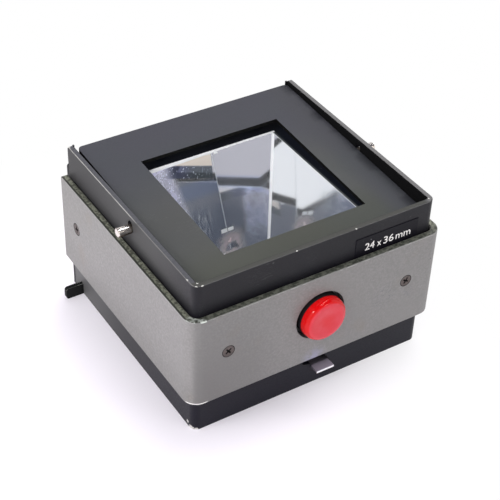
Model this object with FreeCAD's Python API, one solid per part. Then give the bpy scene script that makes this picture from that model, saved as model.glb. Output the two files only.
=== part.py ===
import FreeCAD, Part
import math
import os

# Mirror box that funnels light from a square lamp window down to a 24 x 36 mm film window.
# A black sheet housing stands inside a grey band. Four mirrors form the light shaft, a sprung
# frame rocks and lifts on two side pins above it, and a red button draws a latch tongue in.
# X runs across, Y from the button side to the back, Z up. The origin is the middle of the
# footprint, on the surface that the box stands on. All lengths are millimetres.

# ---------------------------------------------------------------- driving dimensions

# Housing: one sheet bent to a U, open at the back
housing_width = 110.2
housing_depth = 104.6
housing_height = 73.7
housing_sheet = 2.3
housing_corner = 3.2
rim_corner = 1.5
housing_edge = 0.35
nib_size = 0.7
nib_drop = 0.3
nib_height = 8.0

# Band: grey U sleeve around the housing
band_wall = 3.0
band_gap = 0.5
band_drop = 14.3
band_lift = 17.1
band_corner = 6.2
band_edge = 0.5
band_end_step = 1.1
button_hole_radius = 11.3

# Sheets that close the housing
cover_sheet = 1.5
cover_drop = 9.7
base_sheet = 2.0
carrier_sheet = 2.0

# Countersunk screws and what they go into
thread_radius = 1.5
screw_head_radius = 2.85
head_sink = 0.1
recess_length = 3.4
recess_width = 0.75
recess_depth = 1.1
hole_clearance = 0.2
thread_clearance = 0.03
spacer_radius = 4.0
tap_spare = 2.0
post_width = 8.0
band_screw_spread = 84.0
fastener_height = 39.8
rear_screw_y = 95.85
band_screw_length = 12.0
plate_screw_length = 8.0
cover_screw_inset = 8.0

# Light shaft
shaft_y = 54.1
window_width = 66.0
window_depth = 66.0
shaft_step = 1.1
exit_width = 45.9
exit_depth = 35.0
mirror_drop = 8.5
mirror_foot = 8.0
mirror_glass = 1.0
mirror_lip = 1.2
seat_gap = 0.1
sheet_play = 0.2

# Diffuser and the frame that holds it and the mirror feet
diffuser_glass = 2.0
diffuser_ledge = 1.5
exit_frame_height = 10.0
exit_frame_border = 9.5
base_window_step = 0.5

# Rocking frame
frame_sheet = 1.6
frame_side_gap = 1.1
frame_shift = 0.9
frame_front_gap = 0.4
frame_back_gap = 0.3
frame_corner = 2.0
frame_tilt = 2.5
frame_lift = 2.0
boss_length = 6.0
boss_width = 8.0
boss_drop = 2.2

# Side pins that carry the frame
pin_y = 53.0
pin_drop = 5.9
pin_radius = 2.0
pin_stand_out = 5.8
pin_root_gap = 0.3
pin_neck_radius = 1.7
pin_edge = 0.3
spigot_radius = 1.0
spigot_length = 5.0
running_clearance = 0.05
slot_clearance = 0.1

# Rubber buffers and leaf springs below the frame
buffer_radius = 3.0
buffer_spread = 60.0
buffer_edge = 4.0
buffer_play = 0.06
leaf_sheet = 0.4
leaf_width = 6.0
leaf_base = 8.0
leaf_run = 16.0
leaf_tip = 3.0
leaf_start = 4.0
leaf_play = 0.15
rivet_radius = 1.0
rivet_head_radius = 1.8
rivet_head_height = 0.8
rivet_margin = 0.4

# Button, plunger and latch
button_radius = 9.95
button_draft = 0.35
button_stand_out = 5.0
button_edge = 1.2
button_dish = 0.35
button_front_wall = 3.0
button_skirt = 2.0
button_tail = 7.0
button_boss_radius = 4.0
button_boss_length = 6.0
guide_clearance = 0.08
guide_spigot_radius = 11.0
guide_flange_radius = 15.2
guide_flange = 2.0
guide_tube = 1.2
rod_radius = 2.0
rod_seat = 4.0
nut_across_flats = 5.5
nut_height = 2.4
nut_show = 0.3

# Spring bracket
bracket_sheet = 2.0
bracket_y = 16.0
bracket_width = 26.0
bracket_over = 7.0
bracket_foot = 10.0
bracket_screw_length = 3.8
bracket_screw_inset = 1.85
spring_radius = 5.5
wire_radius = 0.4
spring_turns = 7
wire_sides = 8

# Latch plate and the slot that its tongue leaves through
latch_sheet = 1.0
latch_pad_half = 5.0
latch_pad_over = 5.0
latch_pad_under = 9.0
tongue_left = 0.5
tongue_width = 8.4
tongue_height = 8.1
tongue_reach = 3.9
tongue_play = 0.5
slot_gap = 0.2
slot_reach = 4.7
slot_under = 0.4
slot_shelf_near = 0.8
slot_shelf_far = 2.6
slot_over = 5.5
slot_lean = 3.7
slot_corner = 0.4

# Locating bar across the back foot
bar_y = 100.1
bar_sheet = 2.0
bar_height = 5.5
bar_reach = 8.2
bar_corner = 1.2

# Format label on the housing front
label_inset = 8.05
label_width = 30.1
label_top_drop = 5.9
label_tuck = 1.7
label_sheet = 0.3

# ---------------------------------------------------------------- places worked out from them

past = 1.0     # how far a cutter runs past the face that it opens
snug = 1e-3    # how near a point counts as on a face
setback = band_wall + band_gap
case_depth = setback + housing_depth + cover_sheet
front = (button_stand_out - case_depth) / 2
housing_front = front + setback
housing_back = housing_front + housing_depth
inside_front = housing_front + housing_sheet
housing_half = housing_width / 2
inside_half = housing_half - housing_sheet
band_half = housing_half + setback
band_back = front + case_depth - band_end_step
band_top = housing_height - band_drop
label_left = housing_half - label_inset - label_width
mirror_top = housing_height - mirror_drop
pin_height = housing_height - pin_drop
cover_height = housing_height - cover_drop
carrier_top = mirror_top - mirror_lip
post_top = carrier_top - carrier_sheet
band_screw_x = band_screw_spread / 2
front_post_y = inside_front + post_width / 2
rear_post_x = inside_half - post_width / 2
rear_post_y = front + rear_screw_y
shaft_middle = front + shaft_y
axle_y = front + pin_y
bar_front = front + bar_y
bracket_front = front + bracket_y
bracket_back = bracket_front + bracket_sheet
screw_head_height = screw_head_radius - thread_radius
clear_radius = thread_radius + hole_clearance
tap_radius = thread_radius + thread_clearance
rivet_reach = guide_flange_radius - rivet_head_radius - rivet_margin
tilt = math.radians(frame_tilt)

X = FreeCAD.Vector(1, 0, 0)
Y = FreeCAD.Vector(0, 1, 0)
Z = FreeCAD.Vector(0, 0, 1)


# ---------------------------------------------------------------- small shapes

def point(x, y, z):
    return FreeCAD.Vector(x, y, z)


def box(x_low, x_high, y_low, y_high, z_low, z_high):
    corner = point(x_low, y_low, z_low)
    return Part.makeBox(x_high - x_low, y_high - y_low, z_high - z_low, corner)


def rod(radius, start, direction, length):
    return Part.makeCylinder(radius, length, start, direction)


def edges_along(shape, direction, chosen):
    """Straight edges along a direction whose middle passes the test."""
    found = []
    for edge in shape.Edges:
        if len(edge.Vertexes) < 2:
            continue
        run = edge.Vertexes[1].Point.sub(edge.Vertexes[0].Point)
        if run.Length > 0 and run.cross(direction).Length < 1e-6 * run.Length:
            if chosen(edge.CenterOfMass):
                found.append(edge)
    return found


def rounded(shape, radius, direction, chosen):
    return shape.makeFillet(radius, edges_along(shape, direction, chosen))


def plate(x_half, y_low, y_high, z_low, z_high, corner):
    """Flat sheet with four rounded corners, centred on X."""
    sheet = box(-x_half, x_half, y_low, y_high, z_low, z_high)
    return rounded(sheet, corner, Z, lambda middle: True)


def bent_sheet(x_half, y_low, y_high, z_low, z_high, wall, corner):
    """U of sheet seen from above: a front wall, two side walls and rounded bends."""
    outside = box(-x_half, x_half, y_low, y_high, z_low, z_high)
    inside = box(wall - x_half, x_half - wall, y_low + wall, y_high + wall, z_low - past, z_high + past)
    middle_y = (y_low + y_high) / 2
    outside = rounded(outside, corner, Z, lambda middle: middle.y < middle_y)
    inside = rounded(inside, corner - wall, Z, lambda middle: middle.y < middle_y)
    return outside.cut(inside)


def level_edges(shape, z):
    """All edges that lie in the level plane at a height."""
    return [edge for edge in shape.Edges
            if abs(edge.BoundBox.ZMin - z) < snug and abs(edge.BoundBox.ZMax - z) < snug]


def turned(shape, start, direction):
    """Moves a shape drawn at the origin along +Z to a start point and direction."""
    copy = shape.copy()
    copy.Placement = FreeCAD.Placement(start, FreeCAD.Rotation(Z, direction))
    return copy


def cone_frustum(x_top, y_top, z_top, x_foot, y_foot, z_foot):
    """Four-sided frustum about the light axis, given its half sizes at two heights."""
    rings = []
    for x_half, y_half, z in ((x_foot, y_foot, z_foot), (x_top, y_top, z_top)):
        corners = [point(side_x * x_half, shaft_middle + side_y * y_half, z)
                   for side_x, side_y in ((-1, -1), (1, -1), (1, 1), (-1, 1))]
        rings.append(Part.makePolygon(corners + corners[:1]))
    return Part.makeLoft(rings, True, True)


def save(name, shapes):
    """Writes one sub-part, made of one or several separate solids."""
    solids = shapes if isinstance(shapes, list) else [shapes]
    shape = solids[0] if len(solids) == 1 else Part.makeCompound(solids)
    shape.exportStep("parts/" + name + ".step")


# ---------------------------------------------------------------- screws and rivets

def countersunk_screw(length):
    """Screw along +Z, with its head's face at z = 0 and its shank below."""
    head = Part.makeCone(thread_radius, screw_head_radius, screw_head_height,
                         point(0, 0, -screw_head_height))
    shank = rod(thread_radius, point(0, 0, -length), Z, length - screw_head_height / 2)
    half_length = recess_length / 2
    half_width = recess_width / 2
    long_way = box(-half_length, half_length, -half_width, half_width, -recess_depth, past)
    cross_way = box(-half_width, half_width, -half_length, half_length, -recess_depth, past)
    taper = Part.makeCone(recess_width, half_length + recess_depth, recess_depth + past,
                          point(0, 0, -recess_depth))
    return head.fuse(shank).cut(long_way.fuse(cross_way).common(taper))


def screw_hole(length):
    """Countersink and clearance hole that take the head of the screw."""
    mouth = screw_head_radius + head_sink
    sink = Part.makeCone(clear_radius, mouth, mouth - clear_radius,
                         point(0, 0, clear_radius - mouth))
    lead = rod(mouth, point(0, 0, 0), Z, past)
    return sink.fuse([lead, rod(clear_radius, point(0, 0, -length), Z, length)])


def tapped_hole(length):
    return rod(tap_radius, point(0, 0, -length - tap_spare), Z, length + tap_spare)


def band_screw_places():
    """Start point and outward direction of the four screws that hold the band."""
    places = []
    for side in (-1, 1):
        places.append((point(side * band_screw_x, front, fastener_height), Y * -1))
        places.append((point(side * band_half, rear_post_y, fastener_height), X * side))
    return places


def post_places():
    """Plan position of the four posts."""
    places = []
    for side in (-1, 1):
        places.append((side * band_screw_x, front_post_y))
        places.append((side * rear_post_x, rear_post_y))
    return places


def base_screw_places():
    return [(point(x, y, 0), Z * -1) for x, y in post_places()]


def carrier_screw_places():
    return [(point(x, y, carrier_top), point(0, 0, 1)) for x, y in post_places()]


def cover_screw_places():
    places = []
    for side in (-1, 1):
        for height in (cover_screw_inset + bar_height, post_top - cover_screw_inset):
            start = point(side * rear_post_x, housing_back + cover_sheet, height)
            places.append((start, point(0, 1, 0)))
    return places


def exit_screw_places():
    reach_x = exit_width / 2 + (diffuser_ledge + exit_frame_border) / 2
    reach_y = exit_depth / 2 + (diffuser_ledge + exit_frame_border) / 2
    return [(point(side_x * reach_x, shaft_middle + side_y * reach_y, 0), point(0, 0, -1))
            for side_x in (-1, 1) for side_y in (-1, 1)]


def bracket_screw_places():
    y = bracket_front - bracket_foot / 2
    top = base_sheet + bracket_sheet
    reach = bracket_width / 2 - screw_head_radius - bracket_screw_inset
    return [(point(side * reach, y, top), point(0, 0, 1)) for side in (-1, 1)]


def at_places(shape, places):
    return [turned(shape, start, direction) for start, direction in places]


def screws_at(places, length):
    """Screws with their heads just below the faces that they hold."""
    return [turned(countersunk_screw(length), start - direction * head_sink, direction)
            for start, direction in places]


def guide_rivet_places():
    return [side * rivet_reach for side in (-1, 1)]


# ---------------------------------------------------------------- casing

def latch_slot():
    """Opening in the housing front: a close notch for the tongue and a leaning window over it."""
    near = tongue_left - slot_gap
    far = tongue_left - slot_reach
    right = tongue_left + tongue_width + slot_gap
    over = tongue_height + latch_sheet
    outline = [(far, over + slot_over), (far, over + slot_shelf_far),
               (near, over + slot_shelf_near), (near, tongue_height - slot_under),
               (right, tongue_height - slot_under), (right, over + slot_gap),
               (right - slot_lean, over + slot_over)]
    corners = [point(x, housing_front - past, z) for x, z in outline]
    face = Part.Face(Part.makePolygon(corners + corners[:1]))
    hole = face.extrude(Y * (housing_sheet + 2 * past))
    return rounded(hole, slot_corner, Y, lambda middle: True)


def pin_slot(side):
    """Upright slot with round ends that lets a pin neck turn and rise."""
    radius = pin_neck_radius + slot_clearance
    start = side * (inside_half - past)
    reach = X * side
    depth = housing_sheet + 2 * past
    low = rod(radius, point(start, axle_y, pin_height), reach, depth)
    high = rod(radius, point(start, axle_y, pin_height + frame_lift), reach, depth)
    ends = sorted((start, start + side * depth))
    middle = box(ends[0], ends[1], axle_y - radius, axle_y + radius,
                 pin_height, pin_height + frame_lift)
    return low.fuse([high, middle])


def bar_notch():
    """Room for the locating bar in whatever it crosses."""
    gap = seat_gap
    half = housing_half + past
    return box(-half, half, bar_front - gap, bar_front + bar_sheet + gap,
               -past, bar_height + gap)


def nib(side):
    """Small inward lip at the upper back end of a side wall."""
    x_near, x_far = sorted((side * (inside_half - nib_size), side * inside_half))
    top = housing_height - nib_drop
    return box(x_near, x_far, housing_back - nib_size, housing_back, top - nib_height, top)


def make_inner_housing():
    shell = bent_sheet(housing_half, housing_front, housing_back, 0, housing_height,
                       housing_sheet, housing_corner)
    shell = rounded(shell, rim_corner, X, lambda middle: middle.y > housing_back - snug
                    and middle.z > housing_height - snug)
    rim = level_edges(shell, housing_height)
    shell = shell.makeFillet(housing_edge, rim).fuse([nib(-1), nib(1)])
    cuts = [latch_slot(), pin_slot(-1), pin_slot(1), bar_notch()]
    cuts.append(rod(guide_spigot_radius + running_clearance,
                    point(0, housing_front - past, fastener_height), Y,
                    housing_sheet + 2 * past))
    for start, direction in band_screw_places():
        cuts.append(rod(clear_radius, start, direction * -1, setback + housing_sheet + past))
    for x in guide_rivet_places():
        cuts.append(turned(rivet_sink(), point(x, housing_front, fastener_height), Y * -1))
    return shell.cut(cuts)


def make_outer_band():
    band = bent_sheet(band_half, front, band_back, band_lift, band_top, band_wall, band_corner)
    rims = level_edges(band, band_top) + level_edges(band, band_lift)
    band = band.makeFillet(band_edge, rims)
    hole = rod(button_hole_radius, point(0, front - past, fastener_height), Y,
               band_wall + 2 * past)
    return band.cut([hole] + at_places(screw_hole(band_wall + past), band_screw_places()))


def make_band_spacers():
    """Washers that keep the band clear of the housing at each screw."""
    rings = []
    for start, direction in band_screw_places():
        face = start - direction * band_wall
        ring = rod(spacer_radius, face, direction * -1, band_gap)
        hole = rod(clear_radius, face + direction * past, direction * -1, band_gap + 2 * past)
        rings.append(ring.cut(hole))
    return rings


def make_posts(is_front):
    """Square posts that tie the base, the mirror carrier, the band and the back cover."""
    posts = []
    half = post_width / 2
    cuts = at_places(tapped_hole(band_screw_length), band_screw_places())
    cuts += at_places(tapped_hole(plate_screw_length), base_screw_places())
    cuts += at_places(tapped_hole(plate_screw_length), carrier_screw_places())
    cuts += at_places(tapped_hole(plate_screw_length), cover_screw_places())
    cuts.append(bar_notch())
    for x, y in post_places():
        if (y < shaft_middle) == is_front:
            back = y + half if is_front else housing_back
            post = box(x - half, x + half, y - half, back, base_sheet, post_top)
            posts.append(post.cut(cuts))
    return posts


def make_base_plate():
    sheet = plate(inside_half, inside_front, bar_front - seat_gap, 0, base_sheet,
                  housing_corner - housing_sheet + seat_gap)
    window = box(base_window_step - exit_width / 2, exit_width / 2 - base_window_step,
                 shaft_middle - exit_depth / 2 + base_window_step,
                 shaft_middle + exit_depth / 2 - base_window_step, -past, base_sheet + past)
    cuts = [window]
    cuts += at_places(screw_hole(base_sheet + past), base_screw_places() + exit_screw_places())
    cuts += at_places(tapped_hole(bracket_screw_length), bracket_screw_places())
    return sheet.cut(cuts)


def make_back_cover():
    cover = box(-housing_half, housing_half, housing_back, housing_back + cover_sheet,
                0, cover_height)
    cover = rounded(cover, rim_corner, Y, lambda middle: middle.z > cover_height / 2)
    return cover.cut(at_places(screw_hole(cover_sheet + past), cover_screw_places()))


def make_locating_bar():
    """Flat bar across the back foot whose two ends stand out beside the housing."""
    half = housing_half + bar_reach
    bar = box(-half, half, bar_front, bar_front + bar_sheet, 0, bar_height)
    return rounded(bar, bar_corner, Y, lambda middle: True)


def make_size_label():
    top = housing_height - label_top_drop
    return box(label_left, label_left + label_width, housing_front - label_sheet,
               housing_front, band_top - label_tuck, top)


# ---------------------------------------------------------------- light shaft

def shaft_half(z, outward):
    """Half sizes of the shaft at a height, on planes set outward from the mirror faces."""
    height = mirror_top - mirror_foot
    top_x = window_width / 2 - shaft_step
    top_y = window_depth / 2 - shaft_step
    halves = []
    for top, foot in ((top_x, exit_width / 2), (top_y, exit_depth / 2)):
        slope = (top - foot) / height
        halves.append(foot + slope * (z - mirror_foot) + outward * math.hypot(1, slope))
    return halves


def shaft_solid(outward, z_low, z_high):
    low = shaft_half(z_low, outward)
    high = shaft_half(z_high, outward)
    return cone_frustum(high[0], high[1], z_high, low[0], low[1], z_low)


def make_mirror(turn):
    """One mitred mirror. Turn 0 to 3 counts the sides from the front, counter-clockwise."""
    signs = ((-1, -1), (1, -1), (1, 1), (-1, 1))
    first = signs[turn]
    second = signs[(turn + 1) % len(signs)]
    faces = []
    for outward in (0, mirror_glass):
        foot = shaft_half(mirror_foot, outward)
        top = shaft_half(mirror_top, outward)
        corners = [(first, foot, mirror_foot), (second, foot, mirror_foot),
                   (second, top, mirror_top), (first, top, mirror_top)]
        points = [point(sign[0] * half[0], shaft_middle + sign[1] * half[1], z)
                  for sign, half, z in corners]
        faces.append(Part.makePolygon(points + points[:1]))
    return Part.makeLoft(faces, True, True)


def make_mirror_carrier():
    """Sheet on the posts whose window holds the upper ends of the mirrors."""
    sheet = plate(inside_half - sheet_play, inside_front + sheet_play,
                  housing_back - sheet_play, post_top, carrier_top, frame_corner)
    window = shaft_solid(mirror_glass + seat_gap, post_top - past, carrier_top + past)
    cuts = [window] + at_places(screw_hole(carrier_sheet + past), carrier_screw_places())
    for side in (-1, 1):
        x = side * (leaf_start + leaf_base / 2)
        cuts.append(rod(rivet_radius + running_clearance, point(x, leaf_y(), post_top - past),
                        Z, carrier_sheet + 2 * past))
    return sheet.cut(cuts)


def make_exit_frame():
    """Block with a seat for the mirror feet and, right below it, a ledge for the diffuser."""
    half_x = exit_width / 2 + exit_frame_border
    half_y = exit_depth / 2 + exit_frame_border
    top = base_sheet + exit_frame_height
    block = box(-half_x, half_x, shaft_middle - half_y, shaft_middle + half_y, base_sheet, top)
    passage = box(-exit_width / 2, exit_width / 2, shaft_middle - exit_depth / 2,
                  shaft_middle + exit_depth / 2, 0, mirror_foot)
    seat = shaft_solid(mirror_glass + seat_gap, mirror_foot, top + past)
    pocket_x = exit_width / 2 + diffuser_ledge + seat_gap
    pocket_y = exit_depth / 2 + diffuser_ledge + seat_gap
    pocket = box(-pocket_x, pocket_x, shaft_middle - pocket_y, shaft_middle + pocket_y,
                 mirror_foot - diffuser_glass, mirror_foot)
    cuts = [passage, seat, pocket]
    cuts += at_places(tapped_hole(plate_screw_length), exit_screw_places())
    return block.cut(cuts)


def make_diffuser():
    half_x = exit_width / 2 + diffuser_ledge
    half_y = exit_depth / 2 + diffuser_ledge
    return box(-half_x, half_x, shaft_middle - half_y, shaft_middle + half_y,
               mirror_foot - diffuser_glass, mirror_foot)


# ---------------------------------------------------------------- rocking frame

def frame_level_ends():
    """Front and back edge of the frame when it lies level."""
    return inside_front + frame_front_gap, housing_back - frame_back_gap


def frame_under(y, rise):
    """Height of the frame's underside above a plan position, for a tilt of given rise."""
    return pin_height + (y - axle_y) * math.tan(rise)


def laid_in(shape):
    """Moves a level frame drawn in the middle to where it lies on its pins, front edge down."""
    copy = shape.copy()
    copy.translate(X * frame_shift)
    copy.rotate(point(0, axle_y, pin_height), X, frame_tilt)
    return copy


def make_top_frame():
    front_edge, back_edge = frame_level_ends()
    half = inside_half - frame_side_gap
    sheet = plate(half, front_edge, back_edge, pin_height, pin_height + frame_sheet, frame_corner)
    bosses = [box(min(side * half, side * (half - boss_length)),
                  max(side * half, side * (half - boss_length)),
                  axle_y - boss_width / 2, axle_y + boss_width / 2,
                  pin_height - boss_drop, pin_height) for side in (-1, 1)]
    window = box(-window_width / 2, window_width / 2, shaft_middle - window_depth / 2,
                 shaft_middle + window_depth / 2, pin_height - past,
                 pin_height + frame_sheet + past)
    bores = [rod(spigot_radius + running_clearance, point(side * (half + past), axle_y,
                 pin_height), X * -side, spigot_length + 2 * past) for side in (-1, 1)]
    return laid_in(sheet.fuse(bosses).cut([window] + bores).removeSplitter())


def make_frame_pins():
    """Stepped pins: a spigot in the frame's boss, a neck in the slot and a round outer end."""
    pins = []
    root = housing_half + pin_root_gap
    tip = housing_half + pin_stand_out
    for side in (-1, 1):
        reach = X * side
        shoulder = inside_half - frame_side_gap + side * frame_shift + sheet_play
        spigot = rod(spigot_radius, point(side * (shoulder - spigot_length), axle_y, pin_height),
                     reach, spigot_length)
        neck = rod(pin_neck_radius, point(side * shoulder, axle_y, pin_height),
                   reach, root - shoulder)
        end = rod(pin_radius, point(side * root, axle_y, pin_height), reach, tip - root)
        outer = [edge for edge in end.Edges if abs(edge.CenterOfMass.x - side * tip) < snug]
        pins.append(end.makeChamfer(pin_edge, outer).fuse([neck, spigot]).removeSplitter())
    return pins


def buffer_rows():
    """Plan height of the two buffer rows and the tilt that brings the frame down on each."""
    front_edge, back_edge = frame_level_ends()
    return ((front_edge + buffer_edge, tilt, -1), (back_edge - 2 * buffer_edge, -tilt, 1))


def make_frame_buffers():
    """Rubber stops that the frame meets when it has rocked fully forward or back."""
    pads = []
    for y, rise, toward in buffer_rows():
        edge_y = y + toward * buffer_radius
        top = frame_under(edge_y, rise) - buffer_play
        for side in (-1, 1):
            foot = point(side * buffer_spread / 2, y, carrier_top)
            pads.append(rod(buffer_radius, foot, Z, top - carrier_top))
    return pads


def leaf_y():
    return frame_level_ends()[1] - 2 * buffer_edge


def make_frame_spring(side):
    """Leaf riveted to the carrier that presses the back of the frame up."""
    start = leaf_start
    bend = start + leaf_base
    rise = bend + leaf_run
    end = rise + leaf_tip
    foot = carrier_top
    top = frame_under(leaf_y() - leaf_width / 2, tilt) - leaf_play - leaf_sheet
    profile = [(start, foot), (bend, foot), (rise, top), (end, top),
               (end, top + leaf_sheet), (rise, top + leaf_sheet),
               (bend, foot + leaf_sheet), (start, foot + leaf_sheet)]
    points = [point(side * x, leaf_y() - leaf_width / 2, z) for x, z in profile]
    face = Part.Face(Part.makePolygon(points + points[:1]))
    hole = rod(rivet_radius + running_clearance,
               point(side * (start + leaf_base / 2), leaf_y(), foot - past), Z,
               leaf_sheet + 2 * past)
    return face.extrude(Y * leaf_width).cut(hole)


def make_spring_rivets():
    rivets = []
    for side in (-1, 1):
        x = side * (leaf_start + leaf_base / 2)
        top = carrier_top + leaf_sheet
        shank = rod(rivet_radius, point(x, leaf_y(), post_top), Z, top - post_top)
        heads = [rod(rivet_head_radius, point(x, leaf_y(), top), Z, rivet_head_height),
                 rod(rivet_head_radius, point(x, leaf_y(), post_top - rivet_head_height),
                     Z, rivet_head_height)]
        rivets.append(shank.fuse(heads))
    return rivets


# ---------------------------------------------------------------- button and latch

def button_face():
    return front - button_stand_out


def spring_seat():
    """Where the button spring bears inside the cap."""
    return button_face() + button_front_wall


def make_button_cap():
    """Red cap with a dished face, a slight draft and a hollow back with a boss for the rod."""
    axis = point(0, button_face(), fastener_height)
    nose = Part.makeCone(button_radius - button_draft, button_radius, button_stand_out, axis, Y)
    body = rod(button_radius, point(0, front, fastener_height), Y, button_tail)
    rim = [edge for edge in nose.Edges if abs(edge.CenterOfMass.y - button_face()) < snug]
    nose = nose.makeFillet(button_edge, rim)
    dish_half = button_radius - button_draft - 2 * button_edge
    ball = (dish_half ** 2 + button_dish ** 2) / (2 * button_dish)
    dish = Part.makeSphere(ball, point(0, button_face() + button_dish - ball, fastener_height))
    hollow = rod(button_radius - button_skirt, point(0, spring_seat(), fastener_height), Y,
                 button_stand_out + button_tail)
    boss = rod(button_boss_radius, point(0, spring_seat(), fastener_height), Y,
               button_boss_length)
    bore = rod(rod_radius, point(0, spring_seat() + button_boss_length - rod_seat,
                                 fastener_height), Y, rod_seat + past)
    return nose.fuse(body).cut(hollow).fuse(boss).cut([dish, bore]).removeSplitter()


def make_plunger_rod():
    """Rod from the cap's boss through the bracket, with a thinner threaded end for the nut."""
    start = spring_seat() + button_boss_length - rod_seat
    main = rod(rod_radius, point(0, start, fastener_height), Y, bracket_back - start)
    end = latch_sheet + nut_height + nut_show
    thread = rod(thread_radius, point(0, bracket_back, fastener_height), Y, end)
    return main.fuse(thread)


def rivet_sink():
    """Hole for a flush rivet along +Z, with its head's face at z = 0."""
    head = Part.makeCone(rivet_radius, rivet_head_radius, rivet_head_height,
                         point(0, 0, -rivet_head_height))
    depth = housing_sheet + guide_flange + past
    return head.fuse(rod(rivet_radius, point(0, 0, -depth), Z, depth))


def make_button_guide():
    """Flanged bush behind the housing front that the cap slides in."""
    spigot = rod(guide_spigot_radius, point(0, housing_front, fastener_height), Y,
                 housing_sheet)
    flange = rod(guide_flange_radius, point(0, inside_front, fastener_height), Y, guide_flange)
    tube = rod(guide_spigot_radius, point(0, inside_front + guide_flange, fastener_height), Y,
               guide_tube)
    length = housing_sheet + guide_flange + guide_tube
    bore = rod(button_radius + guide_clearance, point(0, housing_front - past, fastener_height),
               Y, length + 2 * past)
    holes = [rod(rivet_radius, point(x, inside_front - past, fastener_height), Y,
                 guide_flange + 2 * past)
             for x in guide_rivet_places()]
    return spigot.fuse([flange, tube]).cut([bore] + holes)


def make_guide_rivets():
    rivets = []
    length = housing_sheet + guide_flange
    head = Part.makeCone(rivet_radius, rivet_head_radius, rivet_head_height,
                         point(0, 0, -rivet_head_height))
    shank = rod(rivet_radius, point(0, 0, -length), Z, length)
    tail = rod(rivet_head_radius, point(0, 0, -length - rivet_head_height), Z, rivet_head_height)
    for x in guide_rivet_places():
        start = point(x, housing_front, fastener_height)
        rivets.append(turned(head.fuse([shank, tail]), start, Y * -1))
    return rivets


def make_spring_bracket():
    """Angle on the base plate that guides the rod and the tongue and backs the spring."""
    half = bracket_width / 2
    top = fastener_height + bracket_over
    upright = box(-half, half, bracket_front, bracket_back, base_sheet, top)
    foot = box(-half, half, bracket_front - bracket_foot, bracket_front, base_sheet,
               base_sheet + bracket_sheet)
    bore = rod(rod_radius + running_clearance, point(0, bracket_front - past, fastener_height),
               Y, bracket_sheet + 2 * past)
    window = box(tongue_left - tongue_play, tongue_left + tongue_width + tongue_play,
                 bracket_front - past, bracket_back + past, tongue_height - tongue_play,
                 tongue_height + latch_sheet + tongue_play)
    angle = rounded(upright.fuse(foot).removeSplitter(), bracket_sheet, Y,
                    lambda middle: middle.z > fastener_height)
    holes = at_places(screw_hole(bracket_sheet + past), bracket_screw_places())
    return angle.cut([bore, window] + holes)


def make_button_spring():
    """Coil spring around the rod, between the cap and the bracket. Its wire has flat sides."""
    start = spring_seat() + wire_radius
    length = bracket_front - wire_radius - start
    pitch = length / spring_turns
    helix = Part.makeHelix(pitch, length, spring_radius)
    run = point(0, 2 * math.pi * spring_radius, pitch).normalize()
    rise = run.cross(X)
    corners = []
    for side in range(wire_sides):
        angle = 2 * math.pi * side / wire_sides
        corners.append(point(spring_radius, 0, 0) + X * (wire_radius * math.cos(angle))
                       + rise * (wire_radius * math.sin(angle)))
    section = Part.makePolygon(corners + corners[:1])
    coil = Part.Wire(helix.Edges).makePipeShell([section], True, True)
    return turned(coil, point(0, start, fastener_height), Y)


def make_latch_plate():
    """Plate clamped behind the bracket: a pad on the rod, a leg and a forward tongue."""
    back = bracket_back + latch_sheet
    pad_foot = fastener_height - latch_pad_under
    pad = box(-latch_pad_half, tongue_left + tongue_width, bracket_back, back,
              pad_foot, fastener_height + latch_pad_over)
    leg = box(tongue_left, tongue_left + tongue_width, bracket_back, back,
              tongue_height, pad_foot)
    tongue = box(tongue_left, tongue_left + tongue_width, housing_front - tongue_reach,
                 bracket_back, tongue_height, tongue_height + latch_sheet)
    hole = rod(thread_radius, point(0, bracket_back - past, fastener_height), Y,
               latch_sheet + 2 * past)
    return pad.fuse([leg, tongue]).cut(hole).removeSplitter()


def make_latch_nut():
    radius = nut_across_flats / math.sqrt(3)
    start = bracket_back + latch_sheet
    corners = [point(radius * math.cos(math.radians(60 * step)), start,
                     fastener_height + radius * math.sin(math.radians(60 * step)))
               for step in range(6)]
    prism = Part.Face(Part.makePolygon(corners + corners[:1])).extrude(Y * nut_height)
    hole = rod(thread_radius, point(0, start - past, fastener_height), Y, nut_height + 2 * past)
    return prism.cut(hole)


# ---------------------------------------------------------------- all sub-parts

def main():
    os.makedirs("parts", exist_ok=True)
    save("inner_housing", make_inner_housing())
    save("outer_band", make_outer_band())
    save("band_spacers", make_band_spacers())
    save("band_screws", screws_at(band_screw_places(), band_screw_length))
    save("front_posts", make_posts(True))
    save("rear_posts", make_posts(False))
    save("base_plate", make_base_plate())
    save("base_screws", screws_at(base_screw_places(), plate_screw_length))
    save("back_cover", make_back_cover())
    save("back_screws", screws_at(cover_screw_places(), plate_screw_length))
    save("locating_bar", make_locating_bar())
    save("size_label", make_size_label())
    for turn, side in enumerate(("front", "right", "back", "left")):
        save("mirror_" + side, make_mirror(turn))
    save("mirror_carrier", make_mirror_carrier())
    save("carrier_screws", screws_at(carrier_screw_places(), plate_screw_length))
    save("exit_frame", make_exit_frame())
    save("exit_screws", screws_at(exit_screw_places(), plate_screw_length))
    save("diffuser", make_diffuser())
    save("top_frame", make_top_frame())
    save("frame_pins", make_frame_pins())
    save("frame_buffers", make_frame_buffers())
    save("frame_spring_left", make_frame_spring(-1))
    save("frame_spring_right", make_frame_spring(1))
    save("spring_rivets", make_spring_rivets())
    save("button_cap", make_button_cap())
    save("plunger_rod", make_plunger_rod())
    save("latch_plate", make_latch_plate())
    save("latch_nut", make_latch_nut())
    save("button_guide", make_button_guide())
    save("guide_rivets", make_guide_rivets())
    save("spring_bracket", make_spring_bracket())
    save("bracket_screws", screws_at(bracket_screw_places(), bracket_screw_length))
    save("button_spring", make_button_spring())


main()
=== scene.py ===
import math

import bmesh
import bpy
from bpy.props import FloatProperty, FloatVectorProperty, PointerProperty, StringProperty
from mathutils import Matrix, Vector


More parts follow.
